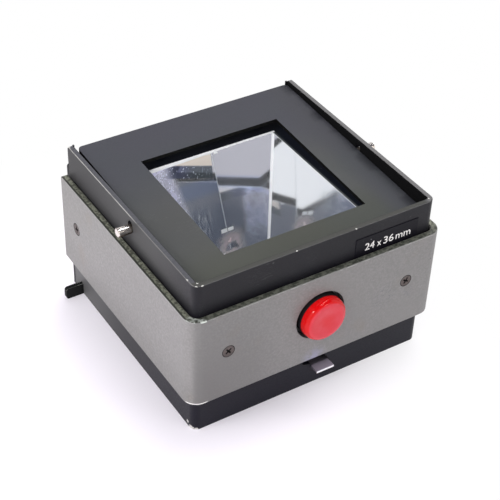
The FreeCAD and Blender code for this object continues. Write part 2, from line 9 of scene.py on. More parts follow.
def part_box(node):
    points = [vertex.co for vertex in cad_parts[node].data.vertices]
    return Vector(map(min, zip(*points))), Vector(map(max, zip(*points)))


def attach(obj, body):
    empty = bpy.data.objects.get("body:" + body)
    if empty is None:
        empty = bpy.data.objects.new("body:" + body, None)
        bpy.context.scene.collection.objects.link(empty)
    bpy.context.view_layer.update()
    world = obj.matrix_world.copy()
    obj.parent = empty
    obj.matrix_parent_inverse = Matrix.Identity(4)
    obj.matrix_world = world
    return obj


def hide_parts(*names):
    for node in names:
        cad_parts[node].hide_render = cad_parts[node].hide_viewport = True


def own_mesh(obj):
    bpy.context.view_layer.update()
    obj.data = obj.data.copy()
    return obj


bl_info = {
    "name": "Slide Copier Mirror Box",
    "version": (1, 0, 0),
    "blender": (4, 5, 0),
    "location": "3D View > Sidebar > Mirror Box",
    "description": "Dresses the mirror box with its paints, mirrors, button, screws, label and studio",
    "category": "Object",
}

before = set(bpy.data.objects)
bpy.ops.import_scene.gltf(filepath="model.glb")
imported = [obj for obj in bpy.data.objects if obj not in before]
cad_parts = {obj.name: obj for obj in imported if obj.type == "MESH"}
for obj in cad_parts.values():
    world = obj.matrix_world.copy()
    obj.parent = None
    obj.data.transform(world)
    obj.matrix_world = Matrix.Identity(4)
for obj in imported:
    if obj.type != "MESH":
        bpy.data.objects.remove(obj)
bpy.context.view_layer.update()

MM = 0.001
SAME_POINT = 1e-6


def mm(*lengths):
    """Lengths given in millimetres, in metres."""
    scaled = tuple(length * MM for length in lengths)
    return scaled[0] if len(scaled) == 1 else scaled


# ---------------------------------------------------------------- places read from the imported parts

cap_low, cap_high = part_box("button_cap")
button_axis = (cap_low + cap_high) / 2
button_radius = (cap_high.x - cap_low.x) / 2
band_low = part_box("outer_band")[0]
housing_low, housing_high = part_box("inner_housing")
label_low, label_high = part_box("size_label")
mirror_front_low, mirror_front_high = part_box("mirror_front")
mirror_back_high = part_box("mirror_back")[1]
shaft_top = mirror_front_high.z
shaft_middle = (mirror_front_low.y + mirror_back_high.y) / 2
mirror_back_face = mirror_back_high.y - mm(1.1)


# ---------------------------------------------------------------- settings

def colour_setting(name, description, default):
    """Setting of a linear colour."""
    return FloatVectorProperty(name=name, description=description, subtype="COLOR",
                               size=3, min=0.0, max=1.0, default=default)


def share_setting(name, description, default):
    """Setting between 0 and 1."""
    return FloatProperty(name=name, description=description, subtype="FACTOR",
                         min=0.0, max=1.0, default=default)


def length_setting(name, description, default):
    return FloatProperty(name=name, description=description, unit="LENGTH",
                         subtype="DISTANCE", min=0.0, default=default)


def power_setting(name, description, default):
    return FloatProperty(name=name, description=description, unit="POWER", min=0.0, default=default)


class PaintSettings(bpy.types.PropertyGroup):
    housing_colour: colour_setting("Housing Colour", "Satin black of the housing", (0.0085, 0.0080, 0.0115))
    # Lifted well above the housing's black: partly painted sheen of the sky on the frame's top.
    frame_colour: colour_setting("Frame Colour", "Satin black of the rocking frame", (0.051, 0.052, 0.052))
    band_colour: colour_setting("Band Colour", "Grey hammer enamel of the band", (0.262, 0.255, 0.247))
    band_rim_colour: colour_setting("Band Rim", "Thin enamel on the band's rims", (0.165, 0.170, 0.132))
    bare_colour: colour_setting("Bare Metal", "Metal that shows through worn paint", (0.62, 0.61, 0.58))
    dust_colour: colour_setting("Dust", "Dust specks on the paint", (0.42, 0.43, 0.42))
    satin: share_setting("Satin", "Roughness of the black paint", 0.40)
    enamel: share_setting("Enamel", "Roughness of the hammer enamel", 0.46)
    grain: length_setting("Enamel Grain", "Width of one cell of the hammer enamel", 0.0009)


class GlassSettings(bpy.types.PropertyGroup):
    silver: colour_setting("Silver", "Colour of the mirror layer", (0.945, 0.948, 0.955))
    haze: colour_setting("Haze", "Bluish haze on the old mirrors", (0.42, 0.50, 0.78))
    glass_edge: colour_setting("Glass Edge", "Ground edge of the mirror glass", (0.86, 0.90, 0.92))
    backing: colour_setting("Backing", "Paint behind the mirror layer", (0.05, 0.055, 0.06))
    opal: colour_setting("Opal", "Opal sheet under the mirror feet", (0.80, 0.80, 0.77))
    gloss: share_setting("Mirror Roughness", "Roughness of the clean mirror", 0.012)


class ButtonSettings(bpy.types.PropertyGroup):
    colour: colour_setting("Button Colour", "Red plastic of the release button", (0.60, 0.0012, 0.0025))
    dish: length_setting("Dish", "Depth of the hollow in the face", 0.00035)
    rim: length_setting("Rim Radius", "Rounding of the rim", 0.0025)
    roughness: share_setting("Roughness", "Roughness of the plastic", 0.10)


class MetalSettings(bpy.types.PropertyGroup):
    nickel: colour_setting("Nickel", "Plating of the side pins", (0.80, 0.75, 0.71))
    screw: colour_setting("Screw Steel", "Browned steel of the screws", (0.112, 0.090, 0.084))
    latch: colour_setting("Latch Steel", "Rolled steel of the latch", (0.33, 0.30, 0.35))
    spring: colour_setting("Spring Steel", "Blued spring steel", (0.30, 0.31, 0.34))
    zinc: colour_setting("Zinc", "Zinc plating of the bracket and washers", (0.62, 0.62, 0.58))
    aluminium: colour_setting("Aluminium", "Drawn aluminium of the posts", (0.74, 0.75, 0.76))
    brass: colour_setting("Brass", "Brass of the rivets", (0.76, 0.58, 0.28))


class ScrewSettings(bpy.types.PropertyGroup):
    head_height: length_setting("Head Height", "Height of the countersunk head", 0.00135)
    shank_diameter: length_setting("Shank Diameter", "Outer diameter of the thread", 0.003)
    recess_length: length_setting("Recess Length", "Length of each arm pair of the cross", 0.0030)
    recess_width: length_setting("Recess Width", "Width of the arms of the cross", 0.00075)
    recess_depth: length_setting("Recess Depth", "Depth of the cross", 0.0010)


class LabelSettings(bpy.types.PropertyGroup):
    text: StringProperty(name="Text", description="Film format on the label", default="24 x 36 mm")
    ink: colour_setting("Ink", "White ink of the figures", (0.86, 0.85, 0.80))
    plate: colour_setting("Plate", "Black of the label plate", (0.0056, 0.0050, 0.0085))
    width: length_setting("Text Width", "Width of the whole line of text", 0.0222)
    height: length_setting("Figure Height", "Height of the figures", 0.0034)


class StudioSettings(bpy.types.PropertyGroup):
    floor: colour_setting("Floor", "White paper floor", (0.905, 0.862, 0.930))
    sky: share_setting("Sky", "Strength of the even light from all round", 0.62)
    key: power_setting("Key Lamp", "Power of the left softbox", 8.0)
    top: power_setting("Top Lamp", "Power of the overhead softbox", 10.0)
    fill: power_setting("Fill Lamps", "Power of each of the two small lamps in front", 1.3)
    tube: power_setting("Glint Tube", "Power of the tube above, which only glossy parts mirror", 4.8)
    spot: power_setting("Glint Spot", "Power of the lamp at the left, which only glossy parts mirror", 1.2)
    lens: FloatProperty(name="Lens", description="Focal length", subtype="DISTANCE_CAMERA", default=94.0)


class MirrorBoxSettings(bpy.types.PropertyGroup):
    paint: PointerProperty(type=PaintSettings, name="Paint", description="Paints of the sheet parts")
    glass: PointerProperty(type=GlassSettings, name="Glass", description="Mirrors and opal sheet")
    button: PointerProperty(type=ButtonSettings, name="Button", description="Release button")
    metal: PointerProperty(type=MetalSettings, name="Metal", description="Bare and plated metals")
    screws: PointerProperty(type=ScrewSettings, name="Screws", description="Cross-head screws")
    label: PointerProperty(type=LabelSettings, name="Label", description="Format label")
    studio: PointerProperty(type=StudioSettings, name="Studio", description="Floor, lamps and camera")


# ---------------------------------------------------------------- material building

EVEN = (1.0, 1.0, 1.0)
NONE = (0.0, 0.0, 0.0)
LEVEL_PLANE = (1.0, 1.0, 0.0)


class NodeTree:
    """Adds nodes to a tree and joins them."""

    def __init__(self, tree):
        self.tree = tree

    def node(self, kind, **settings):
        made = self.tree.nodes.new(kind)
        for name, value in settings.items():
            setattr(made, name, value)
        return made

    def feed(self, socket, value):
        """Gives a socket a value or the output of another node. A colour may have three numbers."""
        value = getattr(value, "socket", value)
        if isinstance(value, bpy.types.NodeSocket):
            self.tree.links.new(value, socket)
        elif socket.type == "RGBA" and len(value) == 3:
            socket.default_value = (*value, 1.0)
        else:
            socket.default_value = value

    def fed(self, kind, values, **settings):
        """A new node with its first sockets fed."""
        made = self.node(kind, **settings)
        for socket, value in zip(made.inputs, values):
            self.feed(socket, value)
        return made

    def math(self, operation, *values):
        return Mask(self, self.fed("ShaderNodeMath", values, operation=operation).outputs[0])

    def vector(self, operation, *values):
        made = self.fed("ShaderNodeVectorMath", values, operation=operation)
        if operation in ("DISTANCE", "DOT_PRODUCT", "LENGTH"):
            return Mask(self, made.outputs["Value"])
        return made.outputs["Vector"]

    def parts(self, vector):
        return [Mask(self, part) for part in self.fed("ShaderNodeSeparateXYZ", [vector]).outputs]

    def either(self, first, *others):
        """The strongest of some masks."""
        for other in others:
            first = self.math("MAXIMUM", first, other)
        return first

    def mixed(self, share, first, second):
        """Blend of two colours, or of two numbers."""
        if isinstance(first, (int, float)) or isinstance(second, (int, float)):
            made, start, out = self.node("ShaderNodeMix", data_type="FLOAT"), 2, 0
        else:
            made, start, out = self.node("ShaderNodeMix", data_type="RGBA"), 6, 2
        for index, value in ((0, share), (start, first), (start + 1, second)):
            self.feed(made.inputs[index], value)
        return Mask(self, made.outputs[out])


class Mask:
    """A number in a node tree. Masks are multiplied with *, and with | the stronger one counts."""

    def __init__(self, tree, socket):
        self.tree, self.socket = tree, socket

    def __mul__(self, other):
        return self.tree.math("MULTIPLY", self, other)

    def __or__(self, other):
        return self.tree.math("MAXIMUM", self, other)

    def __add__(self, other):
        return self.tree.math("ADD", self, other)

    def __sub__(self, other):
        return self.tree.math("SUBTRACT", self, other)

    def __rsub__(self, other):
        return self.tree.math("SUBTRACT", other, self)

    def __abs__(self):
        return self.tree.math("ABSOLUTE", self)

    def step(self, low, high):
        """0 at the low level, 1 at the high one, smooth between. Low may lie above high."""
        made = self.tree.node("ShaderNodeMapRange", interpolation_type="SMOOTHSTEP")
        for name, value in (("Value", self), ("From Min", low), ("From Max", high)):
            self.tree.feed(made.inputs[name], value)
        return Mask(self.tree, made.outputs["Result"])

    def ramp(self, start, end):
        """0 at the start and 1 at the end, both in millimetres."""
        return self.step(mm(start), mm(end))

    def mixed(self, first, second):
        return self.tree.mixed(self, first, second)


class Finish(NodeTree):
    """A material built up in layers on one Principled shader. Lengths are in millimetres."""

    def __init__(self, name, colour, roughness, metallic=0.0, ior=1.5):
        self.material = bpy.data.materials.new(name)
        self.material.use_nodes = True
        super().__init__(self.material.node_tree)
        self.shader = self.tree.nodes["Principled BSDF"]
        self.shader.inputs["IOR"].default_value = ior
        self.place = self.node("ShaderNodeTexCoord").outputs["Object"]
        self.facing = self.node("ShaderNodeNewGeometry").outputs["Normal"]
        self.x, self.y, self.z = self.parts(self.place)
        self.across, self.along, self.upward = self.parts(self.facing)
        self.colour = colour
        self.roughness = roughness
        self.metallic = metallic
        self.height = None

    def placed(self, stretch, shift=NONE, turn=NONE):
        """The place, moved, turned and stretched."""
        made = self.node("ShaderNodeMapping")
        for socket, value in zip(made.inputs, (self.place, shift, turn, stretch)):
            self.feed(socket, value)
        return made.outputs["Vector"]

    def noise(self, scale, detail, stretch=EVEN, shift=NONE, turn=NONE):
        made = self.node("ShaderNodeTexNoise")
        self.feed(made.inputs["Vector"], self.placed(stretch, shift, turn))
        made.inputs["Scale"].default_value = scale
        made.inputs["Detail"].default_value = detail
        return Mask(self, made.outputs["Fac"])

    def mottle(self, scale, detail, low, high, **placing):
        """Cloudy mask, where a noise lies above a level."""
        return self.noise(scale, detail, **placing).step(low, high)

    def cells(self, scale):
        made = self.node("ShaderNodeTexVoronoi", feature="SMOOTH_F1")
        self.feed(made.inputs["Vector"], self.place)
        made.inputs["Scale"].default_value = scale
        made.inputs["Smoothness"].default_value = 0.6
        return Mask(self, made.outputs["Distance"])

    def dots(self, scale, share, size=0.25, shift=NONE):
        """Scattered spots. The share is how many of the cells hold one."""
        made = self.node("ShaderNodeTexVoronoi")
        self.feed(made.inputs["Vector"], self.placed(EVEN, shift))
        made.inputs["Scale"].default_value = scale
        chance = self.fed("ShaderNodeSeparateColor", [made.outputs["Color"]]).outputs["Red"]
        spot = Mask(self, made.outputs["Distance"]).step(size, size * 0.5)
        return spot * Mask(self, chance).step(share + 0.01, share)

    def scratches(self, scale, share, stretch, turn=NONE, shift=NONE):
        """Hairlines along the less stretched direction, in patches."""
        lines = self.noise(scale, 1.5, stretch, shift, turn)
        middle = abs(lines - 0.5)
        level = 0.62 - share * 0.3
        patch = self.mottle(scale * 0.35, 1.0, level, level + 0.1, shift=(3.1, 1.7, 0.4))
        return middle.step(0.012, 0.002) * patch

    def edges(self, radius, low=0.03, high=0.15):
        """1 along the sharp edges of the piece."""
        rounded = self.node("ShaderNodeBevel", samples=4)
        rounded.inputs["Radius"].default_value = mm(radius)
        turn = self.vector("DOT_PRODUCT", rounded.outputs["Normal"], self.facing)
        return (1.0 - turn).step(low, high)

    def rim(self):
        """1 on rounded level rims, where the surface turns from upright to level."""
        slope = abs(self.upward)
        return slope.step(0.12, 0.30) * slope.step(0.985, 0.93)

    def near(self, spot, radius):
        """1 at a spot, falling to 0 at a radius round it."""
        return self.vector("DISTANCE", self.place, mm(*spot)).ramp(radius, 0.0)

    def ragged(self, spots):
        """Ragged patches, each given by its place and radius."""
        fray = self.noise(900, 4) * 0.9
        patches = [(self.near(*spot) + fray).step(0.95, 1.1) for spot in spots]
        return self.either(*patches)

    def outward(self, vector):
        """How far the surface faces along a level vector."""
        return self.vector("DOT_PRODUCT", self.facing, self.vector("MULTIPLY", vector, LEVEL_PLANE))

    def lay(self, mask, colour=None, roughness=None, metallic=None, share=1.0):
        """Lays another finish over the one so far, as far as the mask times the share says."""
        if share < 1.0:
            mask = mask * share
        if colour is not None:
            self.colour = self.mixed(mask, self.colour, colour)
        if roughness is not None:
            self.roughness = self.mixed(mask, self.roughness, roughness)
        if metallic is not None:
            self.metallic = self.mixed(mask, self.metallic, metallic)

    def cover(self, mask, colour, roughness=None, share=1.0):
        """Lays something over a metal that isn't metal, such as haze, a stain or paint."""
        self.lay(mask, colour, roughness, 0.0, share)

    def lift(self, mask, height):
        """Raises the surface by a height where the mask is 1."""
        step = mask * height
        self.height = step if self.height is None else self.height + step

    def done(self):
        looks = {"Base Color": self.colour, "Roughness": self.roughness, "Metallic": self.metallic}
        for name, value in looks.items():
            self.feed(self.shader.inputs[name], value)
        if self.height is not None:
            bump = self.node("ShaderNodeBump")
            bump.inputs["Distance"].default_value = MM
            self.feed(bump.inputs["Height"], self.height)
            self.feed(self.shader.inputs["Normal"], bump.outputs["Normal"])
        return self.material


def scaled(colour, factor):
    return tuple(min(1.0, channel * factor) for channel in colour)


# ---------------------------------------------------------------- paints

# Place and radius of each spot where the paint has chipped or rusted
HOUSING_CORNERS = (((-52.7, -46.4, 73.7), 1.1), ((-54.3, -48.2, 73.5), 1.6), ((-51.9, -48.9, 73.6), 1.2),
                   ((-55.1, -43.0, 73.4), 1.3), ((-54.6, 54.9, 73.4), 1.6), ((53.0, -46.8, 73.7), 0.7),
                   ((-10.9, -48.6, 73.6), 0.8), ((16.5, -48.6, 73.6), 0.7))
HOUSING_FOOT = (((-55.1, -44.3, 2.0), 1.7), ((-54.8, -46.6, 0.4), 2.6), ((-53.6, -48.6, 0.2), 1.8))
BAND_CORNER = (((-56.8, -48.4, 59.2), 3.0), ((-55.2, -50.2, 59.3), 3.0), ((-53.0, -51.8, 59.2), 3.0))
FRAME_RUST = (((-10.8, -34.2, 67.0), 0.9), ((-11.4, -35.4, 67.0), 0.6))

# Place, radius and turn of the scratched patches on the band's front
BAND_SCRATCHES = (((31.0, -52.3, 36.0), 9.0, -0.35), ((44.0, -52.3, 33.5), 4.0, 0.05))


def black_paint(name, paint, colour, roughness, dust, ior=1.33):
    """Satin black paint with fine grain, drifting tone and sparse faint dust."""
    finish = Finish(name, colour, roughness, ior=ior)
    finish.lay(finish.mottle(30, 3, 0.35, 0.75), scaled(colour, 1.18))
    grain = finish.noise(1500, 2)
    finish.lay(grain.step(0.3, 0.8), roughness=roughness + 0.12)
    finish.lift(grain, 0.006)
    finish.lay(finish.dots(420, dust), paint.dust_colour, roughness=0.7, share=0.10)
    scuffs = finish.scratches(160, 0.3, (1.0, 14.0, 14.0), (0.3, 0.2, 0.5))
    finish.lay(scuffs, paint.dust_colour, share=0.08)
    return finish


def housing_wear_and_light(paint):
    """Satin black sheet with painted light on its left side, a left rim both rubbed and painted with a
    highlight, painted sky sheen on its upper rim, painted shade inside and chipped corners.
    """
    finish = black_paint("satin_black_housing", paint, paint.housing_colour, paint.satin, 0.015)
    x, y, z = finish.x, finish.y, finish.z
    foot = z.ramp(20.0, 17.0)
    finish.lay(foot, (0.0010, 0.0006, 0.0070))
    # Painted light: the left side is laid lighter greys, more towards the back, low down behind and up the
    # collar away from the band, as the left lamp lights it.
    left_side = finish.across.step(-0.6, -0.95)
    collar = z.ramp(58.0, 66.0) * finish.near((-55.1, -8.0, 66.0), 48.0)
    for lighter, grey in ((y.ramp(-60.0, 40.0), (0.040, 0.039, 0.041)),
                          (foot * y.ramp(5.0, 50.0), (0.095, 0.095, 0.095)),
                          (collar, (0.053, 0.053, 0.053))):
        finish.lay(left_side * lighter, grey, roughness=0.5)
    # Painted sheen of the sky on the level top of the rim: lighter overall, most at the right, less at the
    # left, with a random speckle.
    rim_top = finish.upward.step(0.95, 0.99) * z.ramp(70.0, 72.0)
    finish.lay(rim_top, (0.058, 0.058, 0.060))
    finish.lay(rim_top * x.ramp(-51.0, -53.0), (0.050, 0.050, 0.060))
    finish.lay(rim_top * x.ramp(51.0, 53.0), (0.118, 0.114, 0.116))
    finish.lay(rim_top * finish.mottle(1100, 3, 0.3, 0.75), (0.14, 0.14, 0.14), share=0.25)
    # Painted shade: faces that look in towards the middle are laid near black and matt.
    finish.lay(finish.outward(finish.place).step(-0.005, -0.020), (0.0015, 0.0015, 0.0018), roughness=0.9)
    # Painted sheen: the front of the rim top is laid a little darker.
    front_top = rim_top * y.ramp(-45.0, -46.4) * x.ramp(52.0, 50.0)
    finish.lay(front_top, (0.044, 0.044, 0.040))
    # The left rim is partly worn bare and partly a painted highlight, stronger towards the back. The corners,
    # the front rim and the foot are only worn.
    shine = y.ramp(-7.0, 4.0).mixed(0.22, 0.62)
    patchy = finish.mottle(160, 3, 0.22, 0.45, shift=(0.2, 0.5, 0.1))
    left_rim_wear_and_highlight = finish.rim() * x.ramp(-54.2, -54.7) * shine * patchy
    front_rim = finish.rim() * y.ramp(-47.8, -48.4) * 0.10
    corners = (finish.rim() | rim_top) * finish.ragged(HOUSING_CORNERS)
    worn = corners | left_rim_wear_and_highlight | front_rim | finish.ragged(HOUSING_FOOT)
    finish.lay(worn, paint.bare_colour, roughness=0.42, metallic=0.5)
    finish.lift(worn, -0.02)
    return finish


def bar_wear_and_highlight(paint):
    """Black bar with its upper front edge worn and painted with a highlight."""
    finish = black_paint("black_locating_bar", paint, (0.005, 0.006, 0.006), paint.satin + 0.1, 0.01, 1.25)
    # Upward-facing edges are laid light: partly wear, partly a painted highlight.
    edge = finish.edges(0.5) * finish.mottle(260, 3, 0.30, 0.55) * finish.upward.step(0.1, 0.4)
    finish.lay(edge, (0.40, 0.40, 0.38), roughness=0.5)
    return finish


def frame_paint(paint):
    """Satin black of the rocking frame, its colour lifted and tinted bluish at the back and olive in front as
    painted sheen of the sky, with a painted shadow by the right wall and painted shade inside its window.
    """
    finish = black_paint("satin_black_frame", paint, paint.frame_colour, paint.satin + 0.02, 0.01)
    x, y = finish.x, finish.y
    # Painted sheen: the sky's reflection in the top is laid on as tone, bluish at the back and right, olive
    # in front and darker at the front left.
    finish.lay(y.ramp(-5.0, 35.0), (0.043, 0.043, 0.054))
    finish.lay(y.ramp(-15.0, -42.0), (0.051, 0.053, 0.044))
    finish.lay(y.ramp(-15.0, -38.0) * x.ramp(-36.0, -2.0), (0.045, 0.047, 0.039))
    finish.lay(x.ramp(36.0, 46.0), (0.042, 0.042, 0.050))
    finish.lay(finish.mottle(22, 3, 0.4, 0.7, shift=(0.3, 0.9, 0.2)), (0.040, 0.047, 0.048), share=0.35)
    finish.lay(finish.ragged(FRAME_RUST), (0.55, 0.28, 0.16))
    # Painted shadow, wispy, along the right wall.
    shadow_by_right_wall = x.ramp(46.5, 50.5) * finish.mottle(150, 4, 0.45, 0.62, stretch=(0.5, 1.0, 1.0))
    finish.lay(shadow_by_right_wall, (0.012, 0.012, 0.016), share=0.5)
    # Painted shade: faces that don't look up, inside the window and beneath, are laid near black and matt.
    finish.lay(finish.upward.step(0.5, 0.2), (0.0005, 0.0005, 0.0004), roughness=0.98)
    return finish


def hammer_enamel(paint):
    """Grey enamel with small cells and drifting tone, painted shade on the front faces and the low front
    corner, and darker low on the left.
    """
    base = paint.band_colour
    finish = Finish("grey_hammer_enamel", base, paint.enamel, metallic=0.25)
    cells = finish.cells(1.0 / paint.grain)
    grain = finish.noise(0.9 / paint.grain, 3)
    finish.lay(cells.step(0.15, 0.75), scaled(base, 0.86))
    finish.lay(grain.step(0.52, 0.72), scaled(base, 1.22), share=0.5)
    finish.lay(finish.mottle(26, 3, 0.5, 0.8), scaled(base, 0.93))
    finish.lay(finish.mottle(60, 4, 0.58, 0.75, shift=(0.3, 0.2, 0.6)), (0.25, 0.21, 0.17), share=0.35)
    # Painted shade: front faces are laid darker, most towards the left, as less light falls on them than on
    # the left side.
    front = finish.along.step(-0.6, -0.9) * finish.x.ramp(-15.0, -35.0).mixed(0.20, 0.36)
    finish.lay(front, (0.12, 0.12, 0.115))
    low_left = finish.across.step(-0.6, -0.9) * finish.z.ramp(36.0, 18.0)
    finish.lay(low_left, (0.12, 0.12, 0.105), share=0.25)
    # Painted shade on the low left part of the front.
    shaded_low_corner = finish.y.ramp(-50.0, -52.0) * finish.near((-52.0, -52.3, 20.0), 45.0)
    finish.lay(shaded_low_corner, (0.150, 0.146, 0.140), share=0.75)
    finish.lift(cells, 0.028)
    finish.lift(grain, 0.020)
    return finish


def band_rims_wear_and_light(finish, rim_colour):
    """Speckles the band's level rims, darker and spotted at the front, and paints shade along their outer
    edges and a shade line and a highlight line along the band's upper edge.
    """
    x, y, upward = finish.x, finish.y, finish.upward
    level = abs(upward).step(0.90, 0.99)
    speckle = finish.mottle(950, 3, 0.38, 0.62)
    finish.lay(level, speckle.mixed(scaled(rim_colour, 0.50), scaled(rim_colour, 1.55)))
    front = y.ramp(-46.5, -48.5)
    spotted = finish.mottle(700, 4, 0.40, 0.62, shift=(0.5, 0.9, 0.1))
    finish.lay(level * front, spotted.mixed((0.040, 0.043, 0.034), (0.130, 0.134, 0.108)))
    # Painted shade: a dark strip along the left and front outer edges of the level rims.
    left_edge = x.step(band_low.x + mm(0.95), band_low.x + mm(0.70))
    front_edge = y.step(band_low.y + mm(0.85), band_low.y + mm(0.65))
    outer_edge_shade = left_edge | front_edge * 0.45
    finish.lay(level * outer_edge_shade, (0.035, 0.036, 0.030))
    # Painted shade and highlight on the upper rim: a dark line above, strongest on the left, and a light line
    # below it, broken at the front.
    upper_rim = finish.rim() * finish.z.ramp(57.0, 58.0)
    strength = finish.across.step(-0.05, -0.3).mixed(0.35, 0.9)
    finish.lay(upper_rim * upward.step(0.55, 0.75) * strength, (0.035, 0.035, 0.030))
    gaps = finish.mottle(330, 3, 0.42, 0.56, shift=(0.4, 0.1, 0.8)) * 0.6
    highlight_line = upper_rim * upward.step(0.55, 0.40) * front.mixed(0.55, gaps)
    finish.lay(highlight_line, (0.52, 0.53, 0.50))
    flaked = finish.mottle(620, 4, 0.40, 0.60, shift=(0.7, 0.2, 0.4))
    corner = (finish.rim() | level * 0.6) * finish.ragged(BAND_CORNER)
    finish.lay(corner * flaked, (0.58, 0.62, 0.57), roughness=0.42, metallic=0.3)


def band_enamel(paint):
    """Hammer enamel with worn rims, a painted highlight on the low front-left edge, and the scratches and the
    rubbed patch of the band's front.
    """
    finish = hammer_enamel(paint)
    band_rims_wear_and_light(finish, paint.band_rim_colour)
    # Painted highlight on the band's lower edge by the front left corner.
    low_edge_highlight = finish.near((-54.8, -50.6, 17.1), 6.5).step(0.15, 0.4)
    finish.lay(finish.z.ramp(18.0, 17.8) * low_edge_highlight, (0.85, 0.84, 0.80), roughness=0.4)
    finish.lay(finish.dots(260, 0.008, 0.12), (0.06, 0.055, 0.06))
    for place, radius, turn in BAND_SCRATCHES:
        lines = finish.scratches(240, 1.0, (0.6, 12.0, 12.0), (0.0, turn, 0.0), (place[0] * 0.01, 0.0, 0.2))
        finish.lay(lines * finish.near(place, radius).step(0.1, 0.5), (0.08, 0.08, 0.13))
    rub = finish.near((-1.6, -52.3, 17.2), 7.5) * finish.mottle(420, 3, 0.25, 0.55)
    finish.lay(rub, (0.28, 0.28, 0.38), roughness=0.36, share=0.95)
    return finish


# ---------------------------------------------------------------- mirrors

# Middle and half size, in x and z, of the spots where the silver has flaked off
FLAKES = ((2.7, 28.6, 1.5, 0.9), (6.0, 28.6, 1.4, 0.8), (-0.6, 65.2, 1.2, 0.7), (2.8, 64.3, 1.0, 0.5))
FLAKE_BLUR = 0.2
# How far a mirror leans outwards for each length of height, and how far the back one's top falls to the right
MIRROR_LEAN = 0.2518
TOP_FALL = 0.022


def dim_reflections_and_cloud_sides(finish, right):
    """Dims the front and left mirrors low down as painted darker reflections, lays a bluish film on the front
    one and hazes the right.
    """
    y, z = finish.y, finish.z
    front = finish.along.step(0.3, 0.6) * finish.x.ramp(-1.0, 5.0)
    left = finish.across.step(0.3, 0.6) * y.ramp(1.0, 6.0)
    # Painted reflection: the silver is dimmed low down so the reflections there come out darker.
    finish.lay(front * z.ramp(34.0, 26.0), (0.66, 0.70, 0.76))
    finish.lay(left * z.ramp(38.0, 32.0), (0.62, 0.68, 0.78))
    film = front * z.ramp(44.5, 42.0) * z.ramp(34.0, 38.0)
    finish.lay(film, (0.40, 0.58, 1.0), share=0.40)
    finish.lay(film, metallic=0.0, share=0.04)
    finish.cover(right, (0.38, 0.62, 1.0), roughness=0.5, share=0.065)
    finish.lay(right * y.ramp(12.0, -18.0), roughness=0.085)


def cloud_left_end(finish, back, left_end):
    """Clouds and streaks the left end of the back mirror, with wisps low down."""
    cloud = finish.mottle(60, 4, 0.35, 0.75, stretch=(1.0, 1.0, 2.0))
    milky = left_end * finish.z.ramp(30.0, 50.0).mixed(0.20, 1.0)
    finish.cover(milky * finish.math("MULTIPLY_ADD", cloud, 0.28, 0.42), (0.66, 0.65, 0.99), roughness=0.5)
    streaks = finish.mottle(420, 3, 0.50, 0.68, stretch=(3.0, 3.0, 0.35), turn=(0.0, 0.5, 0.0))
    finish.cover(streaks * milky, (0.90, 0.90, 1.0), share=0.50)
    wisps = finish.mottle(260, 3, 0.45, 0.70, stretch=(2.5, 2.5, 0.3), turn=(0.0, 0.6, 0.0))
    low_left = wisps * back * finish.near((-9.0, 27.0, 35.0), 12.0)
    finish.cover(low_left, (0.50, 0.66, 0.80), roughness=0.4, share=0.38)


def paint_reflections_and_stain_back(finish, back):
    """Paints reflections on a strip of the back mirror, tan above and dark below, and returns the mask of the
    dark part.
    """
    x = finish.x
    slope = finish.math("MULTIPLY_ADD", x, 0.29, finish.z)
    strip = x.ramp(-24.0, -16.0) * x.ramp(0.7, 0.2) * back
    # Painted reflections on the back mirror: tan above a slanting line, dark teal below it, purplish towards
    # the left.
    finish.cover(strip * slope.ramp(58.9, 59.7), (0.88, 0.74, 0.58), roughness=0.6, share=0.62)
    dark_reflection = strip * slope.ramp(53.2, 54.0) * slope.ramp(59.7, 58.9)
    finish.lay(dark_reflection, (0.030, 0.060, 0.085), metallic=0.6, share=0.85)
    finish.lay(dark_reflection * x.ramp(-7.0, -17.0), (0.20, 0.21, 0.40), share=0.55)
    blotches = finish.mottle(170, 2, 0.30, 0.60, shift=(0.1, 0.4, 0.3))
    blush = finish.near((5.5, 23.5, 21.0), 10.0) * back * blotches
    finish.cover(blush, (0.52, 0.30, 0.30), roughness=0.5, share=0.75)
    flakes = []
    for middle_x, middle_z, half_x, half_z in FLAKES:
        beside = abs(x - mm(middle_x)).ramp(half_x + FLAKE_BLUR, half_x - FLAKE_BLUR)
        above = abs(finish.z - mm(middle_z)).ramp(half_z + FLAKE_BLUR, half_z - FLAKE_BLUR)
        flakes.append(beside * above)
    finish.cover(finish.either(*flakes) * back, (0.92, 0.94, 0.94), roughness=0.4)
    return dark_reflection


def speck_glass(finish, dark_reflection, left_end):
    """Scatters dust over the painted dark reflection and the clouded left end and, more thinly, over all the
    glass, with a few hairlines.
    """
    dust = finish.dots(1100, 0.65, 0.42) * finish.mottle(300, 3, 0.38, 0.52)
    dusty = finish.x.ramp(-2.0, -10.0).mixed(dark_reflection * 0.35, dark_reflection)
    dust = dust * (dusty | left_end * 0.6) * 0.6
    fine = finish.dots(1100, 0.05, 0.26, shift=(0.2, 0.6, 0.1)) * 0.12
    finish.cover(dust | fine, (0.70, 0.76, 0.88), roughness=0.7)
    lines = finish.scratches(300, 0.5, (7.0, 7.0, 0.9), (0.2, 0.4, 0.0))
    finish.lay(lines, (0.75, 0.78, 0.86), metallic=0.2, share=0.12)


